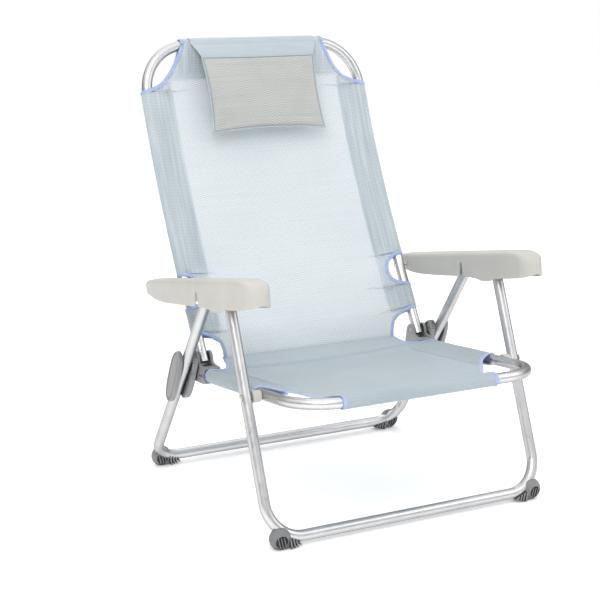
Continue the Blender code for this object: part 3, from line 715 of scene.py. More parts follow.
def arm_section(y):
    """(x, z) pairs from one skirt's foot over the crown to the other's."""
    width = ARM_HALF
    if y < ARM_FRONT + ARM_HALF:
        width = math.sqrt(max(1e-8, ARM_HALF * ARM_HALF - (ARM_FRONT + ARM_HALF - y) ** 2))
    elif y > ARM_BACK - ARM_TAIL:
        rounding = math.sqrt(max(1e-8, ARM_TAIL ** 2 - (y - (ARM_BACK - ARM_TAIL)) ** 2))
        width = (ARM_HALF - ARM_TAIL) + rounding
    tail_drop = 0.004 * max(0.0, (y - (ARM_BACK - 0.03)) / 0.03) ** 2
    top = ARM_TOP - (smooth_lookup(ARM_NOSE, y) + tail_drop)
    # the skirts reach lower round the pivot
    low = smooth_lookup(ARM_UNDER, y) - 0.0046 * smooth((0.030 - abs(y)) / 0.016)
    low = min(low, top - 0.007)
    shoulder = min(0.0085, width * 0.9, (top - low) * 0.8)
    flat = width - shoulder
    half = []
    for k in range(7):
        half.append((mix(width - 0.0006, width, k / 7), mix(low, top - shoulder, k / 7)))
    for k in range(7):
        a = math.pi / 2 * k / 7
        half.append((flat + shoulder * math.cos(a), top - shoulder + shoulder * math.sin(a)))
    for k in range(7):
        x = flat * (1 - k / 6)
        half.append((x, top + 0.0009 * (1 - (x / max(flat, 1e-6)) ** 2)))
    return half + [(-x, z) for x, z in reversed(half[:-1])]


def armrest_mesh():
    """A channel open below: crowned top, rounded shoulders, skirts and a drooping nose."""
    bm = bmesh.new()
    bm.loops.layers.uv.new("UVMap")
    rows = [[bm.verts.new((x, y, z)) for x, z in arm_section(y)] for y in arm_stations()]
    for row, following in zip(rows, rows[1:]):
        for k in range(len(row) - 1):
            bm.faces.new((row[k], following[k], following[k + 1], row[k + 1]))
    # the ends close with faces between the two sides of the first and the last ring
    for ring in (rows[0], rows[-1]):
        for k in range(len(ring) // 2):
            corners = (ring[k], ring[k + 1], ring[-k - 2], ring[-k - 1])
            bm.faces.new(tuple(dict.fromkeys(corners)))
    bmesh.ops.recalc_face_normals(bm, faces=bm.faces)
    # the channel is open, so its normals are turned until the top face looks up
    top = max(bm.faces, key=lambda f: f.calc_center_median().z)
    if top.normal.z < 0:
        bmesh.ops.reverse_faces(bm, faces=bm.faces)
    return apply_modifiers(
        mesh_from_bm("armrest", bm),
        ("SOLIDIFY", {"thickness": ARM_WALL, "offset": -1.0, "use_rim": True}))


def arm_point(y, z):
    """A place in the side view, in the armrest's own sloped axes."""
    dy, dz = y - ARM_PIVOT[0], z - ARM_PIVOT[1]
    cosine, sine = math.cos(ARM_SLOPE), math.sin(ARM_SLOPE)
    return dy * cosine - dz * sine, dy * sine + dz * cosine


def notch_cutter():
    """A wedge that cuts the skirts' notch up to the rack pin."""
    y, z = arm_point(*RACK_PIN)
    outline = [(y - 0.0060, -0.071), (y + 0.0200, -0.071), (y + 0.0042, z),
               (y + 0.0005, z + 0.0055), (y - 0.0042, z)]
    return prism("notch", [(-0.04, *corner) for corner in outline], (0.08, 0, 0))


def armrests():
    knife = bpy.data.objects.new("knife", notch_cutter())
    bpy.context.scene.collection.objects.link(knife)
    shell = apply_modifiers(
        armrest_mesh(),
        ("BOOLEAN", {"operation": "DIFFERENCE", "object": knife, "solver": "EXACT"}),
        ("BEVEL", {"width": 0.0005, "segments": 1, "limit_method": "ANGLE",
                   "angle_limit": math.radians(55)}))
    bpy.data.objects.remove(knife, do_unlink=True)
    for side, name in SIDES.items():
        mesh = shell.copy()
        mesh.transform(Matrix.Translation((side * ARM_X, *ARM_PIVOT))
                       @ Matrix.Rotation(-ARM_SLOPE, 4, "X"))
        piece("armrest_shell_" + name, mesh, LIGHT_PLASTIC, "armrest_" + name,
              ("armrest_" + name,), 40)


armrests()


# ============================================================ grey hinge parts
def hinge_body(side_name):
    """The frame's own hinge fork, with moulded edges."""
    node = "hinge_fork_" + side_name
    name = "hinge_body_" + side_name
    bm = bmesh.new()
    bm.from_mesh(frame["nodes"][node].data)
    bmesh.ops.remove_doubles(bm, verts=bm.verts, dist=0.00002)
    bmesh.ops.dissolve_limit(bm, angle_limit=math.radians(2), verts=bm.verts, edges=bm.edges)
    bm.normal_update()
    mesh = apply_modifiers(
        mesh_from_bm(name, bm),
        ("BEVEL", {"width": 0.0010, "segments": 3, "limit_method": "ANGLE",
                   "angle_limit": math.radians(40), "use_clamp_overlap": True}))
    mesh.materials.clear()
    piece(name, mesh, GREY_PLASTIC, "seat", (node,), 35)


for side_name in SIDES.values():
    hinge_body(side_name)


# label, x nearest the middle, x furthest out, length along the leg, width
CLAMP_SHELLS = (
    ("inner", 0.2590, 0.2716, 0.108, 0.034),
    ("outer", 0.2925, 0.3020, 0.114, 0.036),
)
CLAMP_TURN = math.atan(0.44)    # tilt of the shells about X


def clamp_mesh(length, width, depth, rib_gain):
    """An oval shell: a face with a raised rim and a groove, and fine ribs round its side.

    Local X runs across it, Y along it and Z out of its face.
    """
    count = 144
    bm = bmesh.new()

    def outline(inset, z, rib):
        ring = []
        for k in range(count):
            a = 2 * math.pi * k / count
            c, s = math.cos(a), math.sin(a)
            x = (width / 2 - inset) * math.copysign(abs(c) ** 0.85, c)
            y = (length / 2 - inset) * math.copysign(abs(s) ** 0.75, s)
            cut = rib * rib_gain * smooth(0.5 + 1.1 * math.cos(36 * a))
            shrink = 1 - cut / math.hypot(x, y)
            ring.append(bm.verts.new((0.004 + x * shrink, y * shrink, z)))
        return ring

    # inset from the outline, height, rib depth
    levels = [
        (0.0008, 0.0, 0.0), (0.0002, 0.0008, 0.0012), (0.0, depth - 0.0030, 0.0012),
        (0.0002, depth - 0.0022, 0.0), (0.0010, depth - 0.0008, 0.0), (0.0024, depth, 0.0),
        (0.0036, depth - 0.0002, 0.0), (0.0044, depth - 0.0016, 0.0),
        (0.0056, depth - 0.0018, 0.0), (0.0066, depth - 0.0006, 0.0),
        (0.0110, depth - 0.0003, 0.0), (0.0150, depth - 0.0003, 0.0)]
    rings = [outline(*level) for level in levels]
    for a, b in zip(rings, rings[1:]):
        for k in range(count):
            m = (k + 1) % count
            bm.faces.new((a[k], a[m], b[m], b[k]))
    bm.faces.new(rings[0][::-1])
    bm.faces.new(rings[-1])
    bmesh.ops.recalc_face_normals(bm, faces=bm.faces)
    return mesh_from_bm("bracket", bm)


def clamp_shell(side, label, near, far, length, width):
    """One shell on the rear leg; the inner one faces the middle, the outer one faces out."""
    outer = label == "outer"
    mesh = clamp_mesh(length, width, far - near, rib_gain=1.0 if outer else 1.9)
    facing = side if outer else -side
    start = near if outer else far
    axes = Matrix(((0, 0, facing, side * start), (1, 0, 0, 0), (0, 1, 0, 0), (0, 0, 0, 1)))
    centre = Matrix.Translation((0, REAR_PIVOT[0] - 0.0010, REAR_PIVOT[1] - 0.0035))
    mesh.transform(centre @ Matrix.Rotation(CLAMP_TURN, 4, "X") @ axes)
    if facing < 0:
        mesh.flip_normals()
    name = f"{label}_{SIDES[side]}"
    piece("clamp_shell_" + name, mesh, GREY_PLASTIC, "rear_leg",
          ("rear_bracket_" + name,), 40)


for side in SIDES:
    for shell in CLAMP_SHELLS:
        clamp_shell(side, *shell)


# ============================================================ feet
BULB_RADIUS = 0.0195
POCKET_X = 0.2690
POCKET_Z = 0.0160
POCKET_RADIUS = 0.0112
GROOVE_GAP = 0.00015            # clearance of the groove round the tube


def slab(outline, half, matrix):
    """An (x, z) outline given thickness in Y, with softened edges."""
    mesh = apply_modifiers(
        prism("slab", [(x, -half, z) for x, z in outline], (0, 2 * half, 0)),
        ("BEVEL", {"width": 0.0008, "segments": 2, "limit_method": "ANGLE",
                   "angle_limit": math.radians(30)}))
    mesh.transform(matrix)
    return mesh


def volume(mesh):
    bm = bmesh.new()
    bm.from_mesh(mesh)
    result = abs(bm.calc_volume()) if bm.faces else 0.0
    bm.free()
    return result


def boolean(mesh, tool, kind):
    """One Boolean. If the body is lost, the tool is shifted a hair and it is tried again."""
    before = volume(mesh)
    least = 0.999 if kind == "UNION" else 0.45
    for k in range(6):
        nudged = tool.copy()
        nudged.transform(Matrix.Translation((0.000023 * k, 0.000031 * k, -0.000017 * k)))
        cutter = bpy.data.objects.new("tool", nudged)
        bpy.context.scene.collection.objects.link(cutter)
        settings = {"operation": kind, "object": cutter, "solver": "EXACT"}
        result = apply_modifiers(mesh.copy(), ("BOOLEAN", settings))
        bpy.data.objects.remove(cutter, do_unlink=True)
        if before * least <= volume(result) <= before * 1.6:
            return result
    return mesh


def bulb(y):
    """A ball flattened along Y, with a raised seam round its middle."""
    bm = bmesh.new()
    bmesh.ops.create_uvsphere(bm, u_segments=64, v_segments=40, radius=BULB_RADIUS)
    for v in bm.verts:
        k = abs(v.co.z) / BULB_RADIUS
        swell = 1.0 + 0.025 * math.exp(-(k / 0.07) ** 2)
        v.co.x *= swell
        v.co.y *= swell
        v.co.z = math.copysign((k ** 0.86) * BULB_RADIUS, v.co.z) * 0.74
    place = Matrix.Translation((0.2672, y, 0.0191)) @ Matrix.Rotation(math.pi / 2, 4, "X")
    bmesh.ops.transform(bm, matrix=place, verts=bm.verts)
    return mesh_from_bm("bulb", bm)


def pocket(y):
    """A short tapered disc that hollows one face of the bulb."""
    bm = bmesh.new()
    bmesh.ops.create_cone(bm, cap_ends=True, segments=48, radius1=POCKET_RADIUS,
                          radius2=POCKET_RADIUS * 0.94, depth=0.0084)
    place = Matrix.Translation((POCKET_X, y, POCKET_Z)) @ Matrix.Rotation(math.pi / 2, 4, "X")
    bmesh.ops.transform(bm, matrix=place, verts=bm.verts)
    return mesh_from_bm("disc", bm)


def ground(y):
    """A block whose top trims the foot flat underneath."""
    bm = bmesh.new()
    bmesh.ops.create_cube(bm, size=1.0)
    place = Matrix.Translation((0.25, y, -0.0497)) @ Matrix.Diagonal((0.2, 0.2, 0.1, 1))
    bmesh.ops.transform(bm, matrix=place, verts=bm.verts)
    return mesh_from_bm("ground", bm)


def foot_mesh(leg):
    """The right foot: a bulb under the bend and a ribbed wedge under the bar, grooved."""
    y = leg.bar[0]
    place = Matrix.Translation((0, y, 0))
    wedge = [(0.2310, 0.0058), (0.2540, 0.0012), (0.2700, 0.0008), (0.2660, 0.0235),
             (0.2450, 0.0140), (0.2310, 0.0088)]
    mesh = boolean(bulb(y), slab(wedge, 0.0084, place), "UNION")
    for k in range(4):
        x = 0.2292 + 0.0060 * k
        rib = [(x, 0.0044 - 0.0015 * k), (x + 0.0030, 0.0034 - 0.0015 * k),
               (x + 0.0068, 0.0120 + 0.0026 * k), (x + 0.0036, 0.0110 + 0.0026 * k)]
        mesh = boolean(mesh, slab(rib, 0.0112 + 0.0006 * k, place), "UNION")
    # a hollow in each face of the bulb, with webs standing in it
    for face in (-1, 1):
        mesh = boolean(mesh, pocket(y + face * 0.0150), "DIFFERENCE")
        web_place = Matrix.Translation((0, y + face * 0.0098, 0))
        for k in range(3):
            web = [(0.2604 + 0.0056 * k, 0.0060), (0.2618 + 0.0056 * k, 0.0060),
                   (0.2662 + 0.0056 * k, 0.0240), (0.2648 + 0.0056 * k, 0.0240)]
            mesh = boolean(mesh, slab(web, 0.0033, web_place), "UNION")
    groove = sweep(leg_path(leg, 0.25), circle(TUBE_RADIUS + GROOVE_GAP, 48))
    mesh = boolean(mesh, groove, "DIFFERENCE")
    mesh = boolean(mesh, ground(y), "DIFFERENCE")
    mesh.materials.clear()
    mesh.materials.append(FOOT_PLASTIC)
    mesh.materials.append(FOOT_HOLLOW_SHADE)
    # the floors of the hollows get a near-black material: painted shade
    for face in mesh.polygons:
        centre = face.center
        away = math.hypot(centre.x - POCKET_X, centre.z - POCKET_Z)
        in_floor = away < POCKET_RADIUS + 0.0004 and 0.0100 < abs(centre.y - y) < 0.0122
        face.material_index = 1 if in_floor else 0
    return mesh


for end, leg in LEGS.items():
    foot = foot_mesh(leg)
    for side, side_name in SIDES.items():
        mesh = foot.copy()
        if side < 0:
            mesh.transform(Matrix.Diagonal((-1, 1, 1, 1)))
            mesh.flip_normals()
        piece(f"shoe_{end}_{side_name}", mesh, None, f"{end}_leg",
              (f"foot_{end}_{side_name}",), 35)


# ============================================================ sling shape
WRAP = TUBE_RADIUS + 0.0013     # radius of the cloth's middle, round a tube
CLOTH = 0.0012                  # thickness
SEAM_X = 0.190                  # where the sleeves' inner seams run
FULL = 0.2600                   # a cut this wide goes right round the tube
HEM = 0.066                     # depth of the hems turned under the front and top bars
WRAP_STEPS = 12                 # rows of cloth round a bar
CREASE = (0.1240, 0.2405)       # (y, z) where the seat and the back of the sling meet
SEAT_REAR = CREASE[0]

# half width of the cloth by distance up the backrest
CUT_BACK = [
    (-0.020, 0.1880), (0.008, 0.1878), (0.022, 0.1905), (0.034, 0.1975), (0.043, 0.2110),
    (0.049, 0.2330), (0.054, 0.2620), (0.097, 0.2620), (0.100, 0.2400), (0.104, 0.2250),
    (0.115, 0.2110), (0.134, 0.2060), (0.152, 0.2110), (0.163, 0.2250), (0.167, 0.2400),
    (0.170, 0.2620), (0.536, 0.2620), (0.540, 0.2400), (0.545, 0.2240), (0.555, 0.2040),
    (0.572, 0.1880), (0.594, 0.1740), (0.615, 0.1630), (0.632, 0.1560), (0.700, 0.1520)]
# half width of the cloth by y along the seat
CUT_SEAT = [
    (-0.340, 0.1530), (-0.2985, 0.1555), (-0.2800, 0.1590), (-0.2550, 0.1660),
    (-0.2250, 0.1770), (-0.1950, 0.1890), (-0.1700, 0.2000), (-0.1500, 0.2130),
    (-0.1390, 0.2270), (-0.1330, 0.2420), (-0.1290, 0.2620), (0.0560, 0.2620),
    (0.0600, 0.2440), (0.0640, 0.2290), (0.0720, 0.2110), (0.0850, 0.1990),
    (0.1020, 0.1920), (0.1240, 0.1880)]

# distance up the backrest tubes, by height; it is zero at z = 0.2465
HEIGHTS = np.linspace(0.2345, BACK_TOP_Z, 420)
DEPTHS = np.array([back_y(z) for z in HEIGHTS])
CLIMB = np.concatenate([[0], np.cumsum(np.hypot(np.diff(HEIGHTS), np.diff(DEPTHS)))])
CLIMB = CLIMB - float(np.interp(0.2465, HEIGHTS, CLIMB))
BACK_START = float(np.interp(CREASE[1], HEIGHTS, CLIMB))
BACK_END = float(CLIMB[-1])


def back_height(s):
    return float(np.interp(s, CLIMB, HEIGHTS))


def back_frame(s):
    """Centre of the backrest at a distance up it, with its upward and forward vectors."""
    z = back_height(s)
    return (Vector((0, back_y(z), z)), *back_axes(z))


TOP_CENTRE, TOP_UP, TOP_OUT = back_frame(BACK_END)
START_CENTRE, _, START_OUT = back_frame(BACK_START)
# how far the crease lies behind the tubes' own line
SET_BACK = -(Vector((0, *CREASE)) - START_CENTRE).dot(START_OUT)
SEAT_ALONG = Vector((0, 1, SEAT_SLOPE)).normalized()
SEAT_UP = Vector((0, -SEAT_ALONG.z, SEAT_ALONG.y))


def layer_height(x, tube_x, sign):
    """How far a layer lies over (sign 1) or under (sign -1) the tubes' plane."""
    if x <= SEAM_X:
        return 0.0
    if x <= tube_x:
        t = (x - SEAM_X) / (tube_x - SEAM_X)
        return sign * WRAP * math.sin(math.pi / 2 * t ** 1.15) * (0.35 + 0.65 * t)
    d = min(1.0, (x - tube_x) / WRAP)
    return sign * WRAP * math.sqrt(max(0.0, 1 - d * d))


def sag(x, v, depth):
    """Dip of the cloth between the seams; v runs from 0 to 1 along it."""
    across = 1 - (min(abs(x), SEAM_X) / SEAM_X) ** 2
    return depth * across * math.sin(math.pi * v) ** 0.8


def wrinkle(x, s, fade):
    """Small standing waves, weaker near the tubes."""
    strength = 0.8 * fade * (1 if abs(x) < 0.22 else 0.3)
    return strength * (0.0007 * math.sin(41 * s + 9 * x) * math.sin(17 * s)
                       + 0.0005 * math.sin(73 * s - 21 * x + 1.3))


def back_layer(x, s, sign):
    """The front (1) or rear (-1) layer of the back cloth at x, a distance s up it."""
    if s <= BACK_START + 1e-6:
        return Vector((x, *CREASE))
    centre, _, out = back_frame(s)
    side = layer_height(abs(x), back_x(back_height(s)), sign)
    low = max(0.0, 1 - (s - BACK_START) / (0.054 - BACK_START))
    side = side * (1 - low) - SET_BACK * low ** 1.6
    v = clamp((s - BACK_START) / (BACK_END - BACK_START))
    near_top = smooth((s - (BACK_END - 0.075)) / 0.075)
    height = side * (1 - near_top) + sign * WRAP * near_top
    dip = sag(x, min(1.0, v * 1.02), 0.0125) * (1 - near_top)
    fade = clamp((s - BACK_START) / 0.04) * (1 - near_top)
    point = centre + out * (height - dip + wrinkle(x, s, fade))
    point.x = x
    return point


def skew(y):
    """The seat cloth's front edge is drawn a little to the left of the middle."""
    return -0.0215 * smooth((-0.150 - y) / 0.110)


def bar_back(x):
    """How far the bend has carried the seat's front bar back at x."""
    over = min(SEAT_BEND, max(0.0, abs(x) - (SEAT_X - SEAT_BEND)))
    return SEAT_BEND - math.sqrt(SEAT_BEND ** 2 - over ** 2)


def seat_layer(x, y, sign):
    """The upper (1) or lower (-1) layer of the seat cloth."""
    if y >= SEAT_REAR - 1e-6:
        return Vector((x, *CREASE))
    side = layer_height(abs(x), SEAT_X, sign)
    v = clamp((y - SEAT_FRONT_Y) / (SEAT_REAR - SEAT_FRONT_Y))
    near_front = smooth(((SEAT_FRONT_Y + 0.065) - y) / 0.065)
    # towards the rear the cloth leaves the rails for the crease
    lift = (CREASE[1] - seat_z(SEAT_REAR)) / SEAT_UP.z
    rise = lift * max(0.0, (y - 0.046) / (SEAT_REAR - 0.046)) ** 1.35
    height = side * (1 - near_front) + sign * WRAP * near_front
    dip = sag(x, v, 0.0120) * (1 - near_front)
    fade = (1 - near_front) * min(1.0, (SEAT_REAR - y) / 0.04)
    rail = Vector((x, y + bar_back(x) * near_front, seat_z(y)))
    return rail + SEAT_UP * (height - dip + rise + wrinkle(x, y + 0.4, fade))


def edge_normal(x, tube_x, height, out):
    """Outward direction of the cloth: round the tube near it, square to the cloth elsewhere."""
    if abs(x) > tube_x - 0.006:
        spoke = Vector((math.copysign(abs(x) - tube_x, x), 0, 0)) + out * height
        if spoke.length > 1e-5:
            return spoke.normalized()
    return out if height > -0.004 else -out


def back_edge_normal(point):
    s = float(np.interp(point.z, HEIGHTS, CLIMB))
    centre, _, out = back_frame(s)
    height = (point - Vector((point.x, centre.y, centre.z))).dot(out)
    return edge_normal(point.x, back_x(back_height(s)), height, out)


def seat_edge_normal(point):
    height = (point - Vector((point.x, point.y, seat_z(point.y)))).dot(SEAT_UP)
    return edge_normal(point.x, SEAT_X, height, SEAT_UP)


# The two panels of the sling. A station is a distance up the back, or y on the seat.
# turned(angle) points out from the bar, from the panel's face (0) round to its rear (pi).
# sleeves are the stations between which the tubes are covered behind or below.
# bindings are (label, first station, last station) of the bound edges, by layer.
BACK = SimpleNamespace(
    name="back", body="backrest", cut=CUT_BACK, tube_x=BACK_X, layer=back_layer,
    tube_x_at=lambda s: back_x(back_height(s)),
    out=lambda s: back_frame(s)[2],
    skew=lambda s: 0.0,
    edge_normal=back_edge_normal,
    bar_label="top",
    bar_station=BACK_END,
    bar=lambda x: Vector((x, TOP_CENTRE.y, TOP_CENTRE.z)),
    turned=lambda angle: TOP_OUT * math.cos(angle) + TOP_UP * math.sin(angle),
    sleeves=((0.047, 0.105), (0.160, 0.560)),
    bindings={
        1: (("hinge_cut", BACK_START + 0.0005, 0.0535), ("notch", 0.0975, 0.1695),
            ("corner", 0.5365, BACK_END - 0.002)),
        -1: (("hinge_cut", 0.0330, 0.0535), ("notch", 0.0975, 0.1695),
             ("corner", 0.5365, 0.5700)),
    })
SEAT = SimpleNamespace(
    name="seat", body="seat", cut=CUT_SEAT, tube_x=SEAT_X, layer=seat_layer,
    tube_x_at=lambda y: SEAT_X,
    out=lambda y: SEAT_UP,
    skew=skew,
    edge_normal=seat_edge_normal,
    bar_label="front",
    bar_station=SEAT_FRONT_Y,
    bar=lambda x: Vector((x, SEAT_FRONT_Y + bar_back(x), SEAT_FRONT[1])),
    turned=lambda angle: SEAT_UP * math.cos(angle) - SEAT_ALONG * math.sin(angle),
    sleeves=((-0.150, 0.072),),
    bindings={
        1: (("corner", SEAT_FRONT_Y + 0.002, -0.1295),
            ("hinge_cut", 0.0565, SEAT_REAR - 0.001)),
        -1: (("corner", -0.1600, -0.1295), ("hinge_cut", 0.0565, 0.0760)),
    })


def panel_edge(panel, s, side):
    """Distance from the middle to the cut edge on one side."""
    width = lookup(panel.cut, s)
    return width if width >= FULL else width + side * panel.skew(s)


# ============================================================ sling cloth
def x_samples(edge, tube_x, inner, flat_count):
    """Places from inner to the edge; round the tube they are spaced by angle."""
    arc_count = 8
    if edge < FULL and edge <= tube_x:
        total = flat_count + arc_count
        return [mix(inner, edge, k / total) for k in range(total + 1)]
    samples = [mix(inner, tube_x, k / flat_count) for k in range(flat_count + 1)]
    last = math.pi / 2 if edge >= FULL else math.asin(min(1.0, (edge - tube_x) / WRAP))
    for k in range(1, arc_count + 1):
        samples.append(tube_x + WRAP * math.sin(last * k / arc_count))
    return samples


def stations(table, low, high, fine=0.012):
    """Rows from low to high: every table place between them, with extra rows in the gaps."""
    places = [low] + [place for place, _ in table if low < place < high] + [high]
    result = []
    for a, b in zip(places, places[1:]):
        count = max(1, int(math.ceil((b - a) / fine)))
        result += [a + (b - a) * k / count for k in range(count)]
    return result + [high]


def measured(points, direction, v, start=0.0):
    """Pairs points with UVs whose u runs from start along them."""
    return [(p, (start + direction * d, v)) for p, d in zip(points, distances(points))]


def full_row(left, right, v):
    """Joins two half rows, each listed from the middle outwards."""
    return measured(left, -1, v)[:0:-1] + measured(right, 1, v)


def sheet(rows, in_hem=lambda i, x: False):
    """Faces between rows of (point, uv); in_hem(row, |x|) picks the second material."""
    bm = bmesh.new()
    uv_layer = bm.loops.layers.uv.new("UVMap")
    grid = [[bm.verts.new(point) for point, _ in row] for row in rows]
    for i in range(len(grid) - 1):
        for j in range(len(grid[0]) - 1):
            corners = ((i, j), (i, j + 1), (i + 1, j + 1), (i + 1, j))
            quad = [grid[a][b] for a, b in corners]
            if len({tuple(round(c, 6) for c in vert.co) for vert in quad}) < 3:
                continue
            face = bm.faces.new(quad)
            for loop, (a, b) in zip(face.loops, corners):
                loop[uv_layer].uv = rows[a][b][1]
            middle = (rows[i][j][0] + rows[i + 1][j + 1][0]) / 2
            face.material_index = 1 if in_hem(i, abs(middle.x)) else 0
    return bm


def under_sleeves(panel):
    """The rear or lower layers of a panel's side sleeves, tucked down at the inner seam."""
    sheets = []
    for side in SIDES:
        for low, high in panel.sleeves:
            rows = []
            for s in stations(panel.cut, low, high):
                edge = lookup(panel.cut, s)
                if edge <= SEAM_X + 0.006:
                    continue
                points = []
                for x in x_samples(edge, panel.tube_x_at(s), SEAM_X + 0.0005, 8):
                    tuck = 0.0016 * max(0.0, 1 - (x - SEAM_X) / 0.01)
                    points.append(panel.layer(side * x, s, -1) - panel.out(s) * tuck)
                rows.append(measured(points, -side, s, start=side * 0.5))
            sheets.append(sheet(rows, lambda i, x: True))
    return sheets


def cloth_mesh(name, sheets, materials):
    """Welds sheets together and gives them the cloth's thickness."""
    total = bmesh.new()
    for bm in sheets:
        part = mesh_from_bm("part", bm)
        total.from_mesh(part)
        bpy.data.meshes.remove(part)
    bmesh.ops.remove_doubles(total, verts=total.verts, dist=0.00015)
    bmesh.ops.recalc_face_normals(total, faces=total.faces)
    mesh = mesh_from_bm(name, total)
    for material in materials:
        mesh.materials.append(material)
    return apply_modifiers(
        mesh, ("SOLIDIFY", {"thickness": CLOTH, "offset": 0.0, "use_rim": True}))


def back_cloth():
    """From the crease up the front, over the top bar and down behind it."""
    rows = []
    row_stations = []           # None where the cloth is past the front face

    def samples(s):
        return x_samples(lookup(CUT_BACK, s), BACK.tube_x_at(s), 0.0, 26)

    def add_row(points, v, station=None):
        mirrored = [Vector((-p.x, p.y, p.z)) for p in points]
        rows.append(full_row(mirrored, points, v))
        row_stations.append(station)

    for s in stations(CUT_BACK, BACK_START, BACK_END):
        add_row([back_layer(x, s, 1) for x in samples(s)], s, s)
    for k in range(1, WRAP_STEPS + 1):
        angle = math.pi * k / WRAP_STEPS
        spoke = BACK.turned(angle) * WRAP
        add_row([BACK.bar(x) + spoke for x in samples(BACK_END)], BACK_END + WRAP * angle)
    for k in range(1, 6):
        s = BACK_END - HEM * k / 5
        down = BACK_END - s
        centre, _, out = back_frame(s)
        behind = centre - out * (WRAP * (1 - smooth(down / HEM)) + 0.0010)
        add_row([Vector((x, behind.y, behind.z)) for x in samples(s)],
                BACK_END + math.pi * WRAP + down)

    def in_hem(i, x):
        s = row_stations[i]
        return s is None or s > BACK_END - 0.064 or (x > SEAM_X and 0.05 < s < 0.545)

    mesh = cloth_mesh("backrest_cloth", [sheet(rows, in_hem)] + under_sleeves(BACK),
                      (BACK_MESH, SLEEVE_MESH))
    piece("backrest_cloth", mesh, None, None, ("backrest_fabric",), 60)


def seat_cloth():
    """From under the front bar, round it and back over the seat to the crease."""
    rows = []
    row_stations = []           # None where the cloth is under or round the bar

    def add_row(y, point_at, v, station=None):
        left, right = (
            [point_at(side * x) for x in x_samples(panel_edge(SEAT, y, side), SEAT_X, 0.0, 26)]
            for side in SIDES)
        rows.append(full_row(left, right, v))
        row_stations.append(station)

    for k in range(5):
        y = SEAT_FRONT_Y + HEM * (1 - k / 5)
        inward = y - SEAT_FRONT_Y
        near_bar = 1 - smooth(inward / HEM)
        drop = SEAT_UP * (WRAP * near_bar + 0.0012)
        add_row(y, lambda x: Vector((x, y + bar_back(x) * near_bar, seat_z(y))) - drop,
                SEAT_FRONT_Y - math.pi * WRAP - inward)
    for k in range(WRAP_STEPS):
        angle = math.pi * (1 - k / WRAP_STEPS)
        spoke = SEAT.turned(angle) * WRAP
        add_row(SEAT_FRONT_Y, lambda x: SEAT.bar(x) + spoke, SEAT_FRONT_Y - WRAP * angle)
    for y in stations(CUT_SEAT, SEAT_FRONT_Y, SEAT_REAR):
        add_row(y, lambda x: seat_layer(x, y, 1), y, y)

    def in_hem(i, x):
        y = row_stations[i]
        return y is None or y < SEAT_FRONT_Y + 0.062 or (x > SEAM_X - 0.012 and -0.14 < y < 0.07)

    mesh = cloth_mesh("seat_cloth", [sheet(rows, in_hem)] + under_sleeves(SEAT),
                      (SEAT_MESH, HEM_MESH))
    piece("seat_cloth", mesh, None, None, ("seat_fabric",), 60)


back_cloth()
seat_cloth()


# ============================================================ binding along the cut edges
TAPE_WIDTH = 0.0078
TAPE_THICKNESS = 0.0031
TAPE_STEP = 0.0022


def flat_oval(width, thickness, count=14):
    points = []
    for k in range(count):
        a = 2 * math.pi * k / count
        across = math.copysign(abs(math.cos(a)) ** 0.6, math.cos(a))
        points.append((width / 2 * across, thickness / 2 * math.sin(a)))
    return points


def as_line(points):
    """Points as an array, and the distance to each along the line."""
    array = np.array([tuple(p) for p in points])
    steps = np.linalg.norm(np.diff(array, axis=0), axis=1)
    return array, np.concatenate([[0], np.cumsum(steps)])


def sample(array, lengths, t):
    return np.stack([np.interp(t, lengths, column) for column in array.T], axis=-1)


def cut_edge(panel, side, sign, low, high):
    """Even, softened samples along a cut edge of one layer."""
    reach = panel.tube_x + WRAP * 0.985
    points = []
    for s in stations(panel.cut, low, high, 0.0003):
        points.append(panel.layer(side * min(panel_edge(panel, s, side), reach), s, sign))
    array, lengths = as_line(points)
    count = max(4, int(lengths[-1] / TAPE_STEP))
    line = sample(array, lengths, np.linspace(0, lengths[-1], count))
    for _ in range(5):
        line[1:-1] = (line[:-2] + 2 * line[1:-1] + line[2:]) / 4
    return [Vector(p) for p in line]


def binding(name, points, normals, body):
    mesh = sweep(points, flat_oval(TAPE_WIDTH, TAPE_THICKNESS), normals=normals)
    piece("binding_" + name, mesh, TAPE, body)


def bind_panel(panel, side):
    """Tape on one side's cut edges in both layers, and round the bar between them."""
    for sign, under in ((1, ""), (-1, "under_")):
        for label, low, high in panel.bindings[sign]:
            points = cut_edge(panel, side, sign, low, high)
            normals = [panel.edge_normal(p) for p in points]
            body = None if label == "hinge_cut" else panel.body
            binding(f"{panel.name}_{under}{label}_{SIDES[side]}", points, normals, body)
    bar = panel.bar(side * panel_edge(panel, panel.bar_station, side))
    normals = [panel.turned(math.pi * k / WRAP_STEPS) for k in range(WRAP_STEPS + 1)]
    points = [bar + normal * WRAP for normal in normals]
    binding(f"{panel.name}_{panel.bar_label}_{SIDES[side]}", points, normals, panel.body)


for side in SIDES:
    bind_panel(BACK, side)
    bind_panel(SEAT, side)


# ============================================================ stitching
STITCH_PITCH = 0.0052
STITCH_LENGTH = 0.0036
STITCH_LIFT = 0.0008
STITCH_SINK = 0.0002            # depth of the thread's ends in the cloth
THREAD_RADIUS = 0.00038


